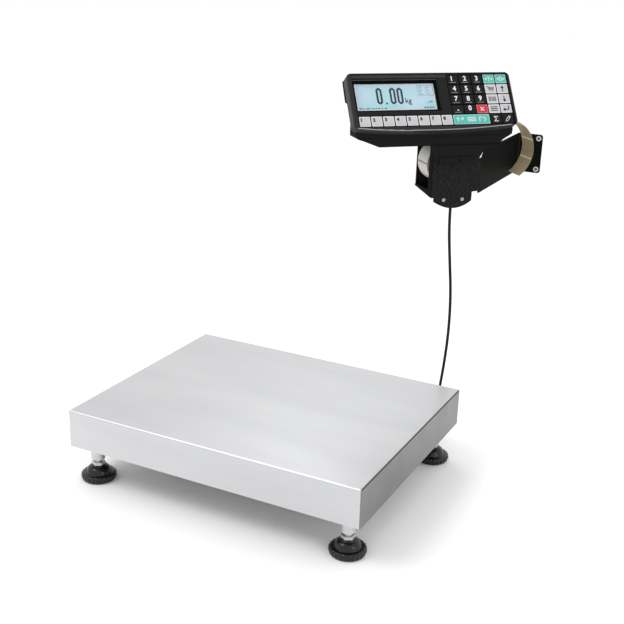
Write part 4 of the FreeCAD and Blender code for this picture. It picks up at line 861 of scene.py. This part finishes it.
def make_feet():
    """A lobed pad, a threaded stud and a nut for each foot."""
    for side in ("front_left", "front_right", "back_left", "back_right"):
        name = "foot_" + side
        low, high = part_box(name)
        place = Matrix.Translation(((low.x + high.x) / 2, (low.y + high.y) / 2, low.z))
        edge = (high.x - low.x) / 2
        scale = edge / (FOOT_EDGE * MM)
        profile = [(radius * MM * scale, height * MM) for radius, height in FOOT_PROFILE]
        pad = lathe(name + "_pad", profile, FOOT_LOBES * 8, "foot", name, "foot_plastic", place,
                    foot_wave(edge))
        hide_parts(name)
        thread = thread_profile(STUD_RADIUS * MM, 25 * MM, high.z - low.z, STUD_PITCH * MM)
        stud = lathe(name + "_stud", thread, 40, "bolt", name, "bolt_steel", place)
        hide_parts(name)
        nut = lathe(name + "_nut", in_metres(NUT_PROFILE), 72, "bolt", name, "bolt_steel",
                    place, hexagon, smooth=False)
        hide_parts(name)


# ---------------------------------------------------------------------------
# Label roll and web
# ---------------------------------------------------------------------------

PLATEN = TERMINAL.inverted() @ Vector(JOINTS["platen_roller_spin"]["pos_m"])
ROLL = TERMINAL.inverted() @ Vector(JOINTS["label_roll_spin"]["pos_m"])
PLATEN_RADIUS = 0.008
WEB_GAP = 0.00055
ROLL_GAP = 0.00075
WEB_START = 0.006
BEND_BEFORE = 0.008
BEND_RADIUS = 0.012
CURL_START = 0.1065
CURL_RADIUS = 0.052
CURL_END = math.radians(-56)
ROLL_LOW, ROLL_HIGH = box_in("label_roll", TERMINAL)
ROLL_RADIUS = (ROLL_HIGH.x - ROLL_LOW.x) / 2
WEB_FRONT, WEB_BACK = ROLL_LOW.y, ROLL_HIGH.y
LINER_THICKNESS = 0.00018
LABEL_THICKNESS = 0.00014
LABEL_LENGTH = 0.030
LABEL_PITCH = 0.033
LABEL_MARGIN = 0.0012
LABEL_END = 0.004
PAPER_CREASE = math.radians(30)


def arc(centre, radius, start, stop, steps):
    """Points of an arc in the side view, both ends included."""
    angles = [start + (stop - start) * i / steps for i in range(steps + 1)]
    return [centre + Vector((math.cos(angle), math.sin(angle))) * radius for angle in angles]


def web_path():
    """Side view (x, z) of the web's middle line, from the roll to the free end."""
    over = PLATEN.z + PLATEN_RADIUS + WEB_GAP
    reach = ROLL_RADIUS + ROLL_GAP
    bend = Vector((PLATEN.x - BEND_BEFORE, over))
    to_x, to_z = bend.x - ROLL.x, over - ROLL.z
    aim = math.atan2(to_z, to_x) - math.asin(reach / math.hypot(to_x, to_z))
    start = Vector((ROLL.x - reach * math.sin(aim) + WEB_START,
                    ROLL.z + reach * math.cos(aim) + WEB_START * math.tan(aim)))
    heading = (bend - start).normalized()
    enter = bend - heading * BEND_RADIUS * math.tan(aim / 2)
    centre = enter + Vector((heading.y, -heading.x)) * BEND_RADIUS
    quarter = math.pi / 2
    curl = Vector((CURL_START, over - CURL_RADIUS))
    return [start, start.lerp(bend, 0.5), *arc(centre, BEND_RADIUS, quarter + aim, quarter, 6),
            *arc(curl, CURL_RADIUS, quarter, CURL_END, 60)]


def along_path(points, distance):
    """Place and outward normal at a distance along the path."""
    for a, b in zip(points, points[1:]):
        step = (b - a).length
        if distance <= step or b is points[-1]:
            heading = (b - a) / step
            return a + heading * distance, Vector((-heading.y, heading.x))
        distance -= step


def strip_faces(steps):
    """Faces of a closed strip that has four corners at each step."""
    faces = []
    for a in range(0, 4 * steps, 4):
        b = a + 4
        faces += [(a, b, b + 1, a + 1), (a + 2, a + 3, b + 3, b + 2),
                  (a, a + 2, b + 2, b), (a + 1, b + 1, b + 3, a + 3)]
    end = 4 * steps
    return faces + [(0, 1, 3, 2), (end, end + 2, end + 3, end + 1)]


def ribbon(points, start, stop, front, back, inner, outer, steps):
    """Closed strip along the path between two distances, offset from its middle line."""
    vertices = []
    for i in range(steps + 1):
        place, normal = along_path(points, start + (stop - start) * i / steps)
        for offset in (inner, outer):
            shifted = place + normal * offset
            for depth in (front, back):
                vertices.append((shifted.x, depth, shifted.y))
    return vertices, strip_faces(steps)


def paper_piece(name, shape, material, body, place):
    """A smooth curved sheet with sharp edges."""
    sheet = add_piece(name, *shape, material, body, "paper_white", place, True)
    sheet.data.set_sharp_from_angle(angle=PAPER_CREASE)
    return sheet


def make_web():
    """Liner from the roll to the curled end, with labels on its outer side and painted light in
    pale strips on its inner side, where light shows through at the gaps between labels.
    """
    points = web_path()
    total = sum((b - a).length for a, b in zip(points, points[1:]))
    liner = paper_piece("label_liner", ribbon(points, 0, total, WEB_FRONT, WEB_BACK,
                                              -LINER_THICKNESS, 0, 150),
                        "liner", ROOT, TERMINAL)
    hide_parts("label_strip")
    front, back = WEB_FRONT + LABEL_MARGIN, WEB_BACK - LABEL_MARGIN
    stop = total - LABEL_END
    count = 0
    while stop - LABEL_LENGTH > 0:
        shape = ribbon(points, stop - LABEL_LENGTH, stop, front, back, 0.00001,
                       LABEL_THICKNESS, 24)
        paper_piece(f"label_{count}", shape, "paper", ROOT, TERMINAL)
        gap_end = stop - LABEL_LENGTH
        stop -= LABEL_PITCH
        # painted light: a pale strip on the liner's inner side at each gap between labels
        shape = ribbon(points, stop, gap_end, front, back, -LINER_THICKNESS - 0.00003,
                       -LINER_THICKNESS + 0.00001, 4)
        add_piece(f"liner_gap_painted_light_{count}", *shape, "liner_light", ROOT, "paper_white", TERMINAL)
        count += 1


ROLL_PLACE = TERMINAL @ Matrix.Translation(ROLL) @ Matrix.Rotation(-math.pi / 2, 4, "X")
CORE_INSIDE = 0.019
CORE_OUTSIDE = 0.0215
WOUND_RINGS = 16
RING_STEP = 0.00035


def curved_plate(start, stop, inner, outer, half, steps=16):
    """Closed plate round the z axis between two angles and two radii."""
    vertices = []
    for i in range(steps + 1):
        angle = start + (stop - start) * i / steps
        for radius in (inner, outer):
            for height in (-half, half):
                vertices.append((radius * math.cos(angle), radius * math.sin(angle), height))
    return vertices, strip_faces(steps)


def make_roll():
    """Wound labels with fine edges, round a card core."""
    half = (WEB_BACK - WEB_FRONT) / 2
    wound = ROLL_RADIUS - LABEL_THICKNESS
    radii = [CORE_OUTSIDE + (wound - CORE_OUTSIDE) * i / WOUND_RINGS
             for i in range(WOUND_RINGS + 1)]
    side = [(radius, half - (RING_STEP if i % 2 else 0.0)) for i, radius in enumerate(radii)]
    profile = [(radius, -height) for radius, height in side] + side[::-1]
    profile.append(profile[0])
    paper_roll = lathe("label_roll_paper", profile, 96, "wound", "label_roll", "paper_white",
                       ROLL_PLACE, smooth=False)
    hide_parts("label_roll")
    outside = CORE_OUTSIDE - 0.00005
    tube = [(CORE_INSIDE, -half), (outside, -half), (outside, half), (CORE_INSIDE, half),
            (CORE_INSIDE, -half)]
    card = lathe("label_roll_core", tube, 96, "card", "label_roll", "paper_white", ROLL_PLACE,
                 smooth=False)
    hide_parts("label_roll")
    count = round(2 * math.pi * ROLL_RADIUS / LABEL_PITCH)
    turn = 2 * math.pi / count
    half_gap = (LABEL_PITCH - LABEL_LENGTH) / ROLL_RADIUS / 2
    for i in range(count):
        shape = curved_plate(turn * i + half_gap, turn * (i + 1) - half_gap, wound + 0.00002,
                             ROLL_RADIUS, half - 0.0009)
        label = paper_piece(f"roll_label_{i}", shape, "paper", "label_roll", ROLL_PLACE)
        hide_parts("label_roll")


# ---------------------------------------------------------------------------
# Small hardware
# ---------------------------------------------------------------------------

WALL_SCREW = [(0, -0.9), (2.7, -0.9), (2.7, 0.2), (2.3, 0.6), (1.3, 0.7), (1.2, -0.4), (0, -0.4)]
CASE_SCREW = [(0, 0), (3.4, 0), (3.4, 1.0), (2.9, 1.7), (1.5, 2.0), (1.3, 0.6), (0, 0.6)]
JACK_FACE = [(1.7, -0.3), (5.15, -0.3), (5.15, 0.7), (4.8, 0.9), (1.9, 0.9), (1.7, 0.7),
             (1.7, -0.3)]
JACK_PIN = [(0, -6), (0.8, -6), (0.8, 0), (0.5, 0.4), (0, 0.5)]
JACK_PLACE = (-120, 25, 0)


def make_wall_screws():
    """Round screw heads in the washers on the bracket's wall flange."""
    low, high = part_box("wall_washers")
    across = (low.x + high.x) / 2
    radius = (high.x - low.x) / 2
    for i, height in enumerate((low.z + radius, high.z - radius)):
        place = (Matrix.Translation((across, low.y, height))
                 @ Matrix.Rotation(math.pi / 2, 4, "X"))
        lathe(f"wall_screw_head_{i}", in_metres(WALL_SCREW), 40, "dark_screw", ROOT,
              "screw_steel", place)


def make_case_hardware():
    """Four screws in the back of the case, and the face and pin of its power jack."""
    low, high = box_in("rear_housing", TERMINAL)
    back = TERMINAL @ Matrix.Translation((0, high.y, 0)) @ Matrix.Rotation(-math.pi / 2, 4, "X")
    corners = [(across, up) for across in (low.x + 46 * MM, high.x - 14 * MM)
               for up in (low.z + 16 * MM, high.z - 22 * MM)]
    for i, (across, up) in enumerate(corners):
        place = back @ Matrix.Translation((across, -up, 0))
        lathe(f"case_screw_{i}", in_metres(CASE_SCREW), 40, "dark_screw", ROOT, "screw_steel",
              place)
    jack = back @ Matrix.Translation(in_metres([JACK_PLACE])[0])
    lathe("power_jack_face", in_metres(JACK_FACE), 48, "rubber", ROOT, "case_plastic", jack,
          smooth=False)
    lathe("power_jack_pin", in_metres(JACK_PIN), 24, "bolt", ROOT, "screw_steel", jack)


# ---------------------------------------------------------------------------
# Signal lead
# ---------------------------------------------------------------------------

# The route of the CAD lead, in metres, with its hanging part's lower end a few
# millimetres further in
LEAD_ROUTE = [
    (0.19065, 0.26558, 0.2941), (0.19065, 0.26558, 0.262), (0.196, 0.2665, 0.204),
    (0.2025, 0.268, 0.140), (0.203, 0.270, 0.072), (0.198, 0.273, 0.006),
    (0.190, 0.278, -0.054), (0.184, 0.288, -0.092), (0.178, 0.308, -0.117),
    (0.166, 0.337, -0.1224), (0.137, 0.363, -0.1224), (0.092, 0.372, -0.1224),
    (0.050, 0.356, -0.1224), (0.036, 0.319, -0.1224), (0.057, 0.283, -0.1224),
    (0.097, 0.268, -0.1224), (0.130, 0.258, -0.118), (0.146, 0.240, -0.102),
    (0.150, 0.219, -0.086), (0.150, 0.200, -0.086),
]
LEAD_DIAMETER = 0.005


def make_lead():
    """The lead from the clamp behind the bracket's ear to the gland of the base."""
    data = bpy.data.curves.new("signal_lead", "CURVE")
    data.dimensions = "3D"
    data.bevel_depth = LEAD_DIAMETER / 2
    data.bevel_resolution = 6
    data.resolution_u = 12
    data.use_fill_caps = True
    spline = data.splines.new("NURBS")
    spline.points.add(len(LEAD_ROUTE) - 1)
    for point, place in zip(spline.points, LEAD_ROUTE):
        point.co = (*place, 1)
    spline.order_u = 3
    spline.use_endpoint_u = True
    data.materials.append(MATERIALS["lead"])
    lead = bpy.data.objects.new("signal_lead", data)
    bpy.context.scene.collection.objects.link(lead)
    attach(lead, ROOT)
    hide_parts("signal_cable")


make_camera()
make_studio()
dress_nodes()
make_lead()
dress_keys()
dress_display()
make_display_mask()
make_feet()
make_web()
make_roll()
make_wall_screws()
make_case_hardware()
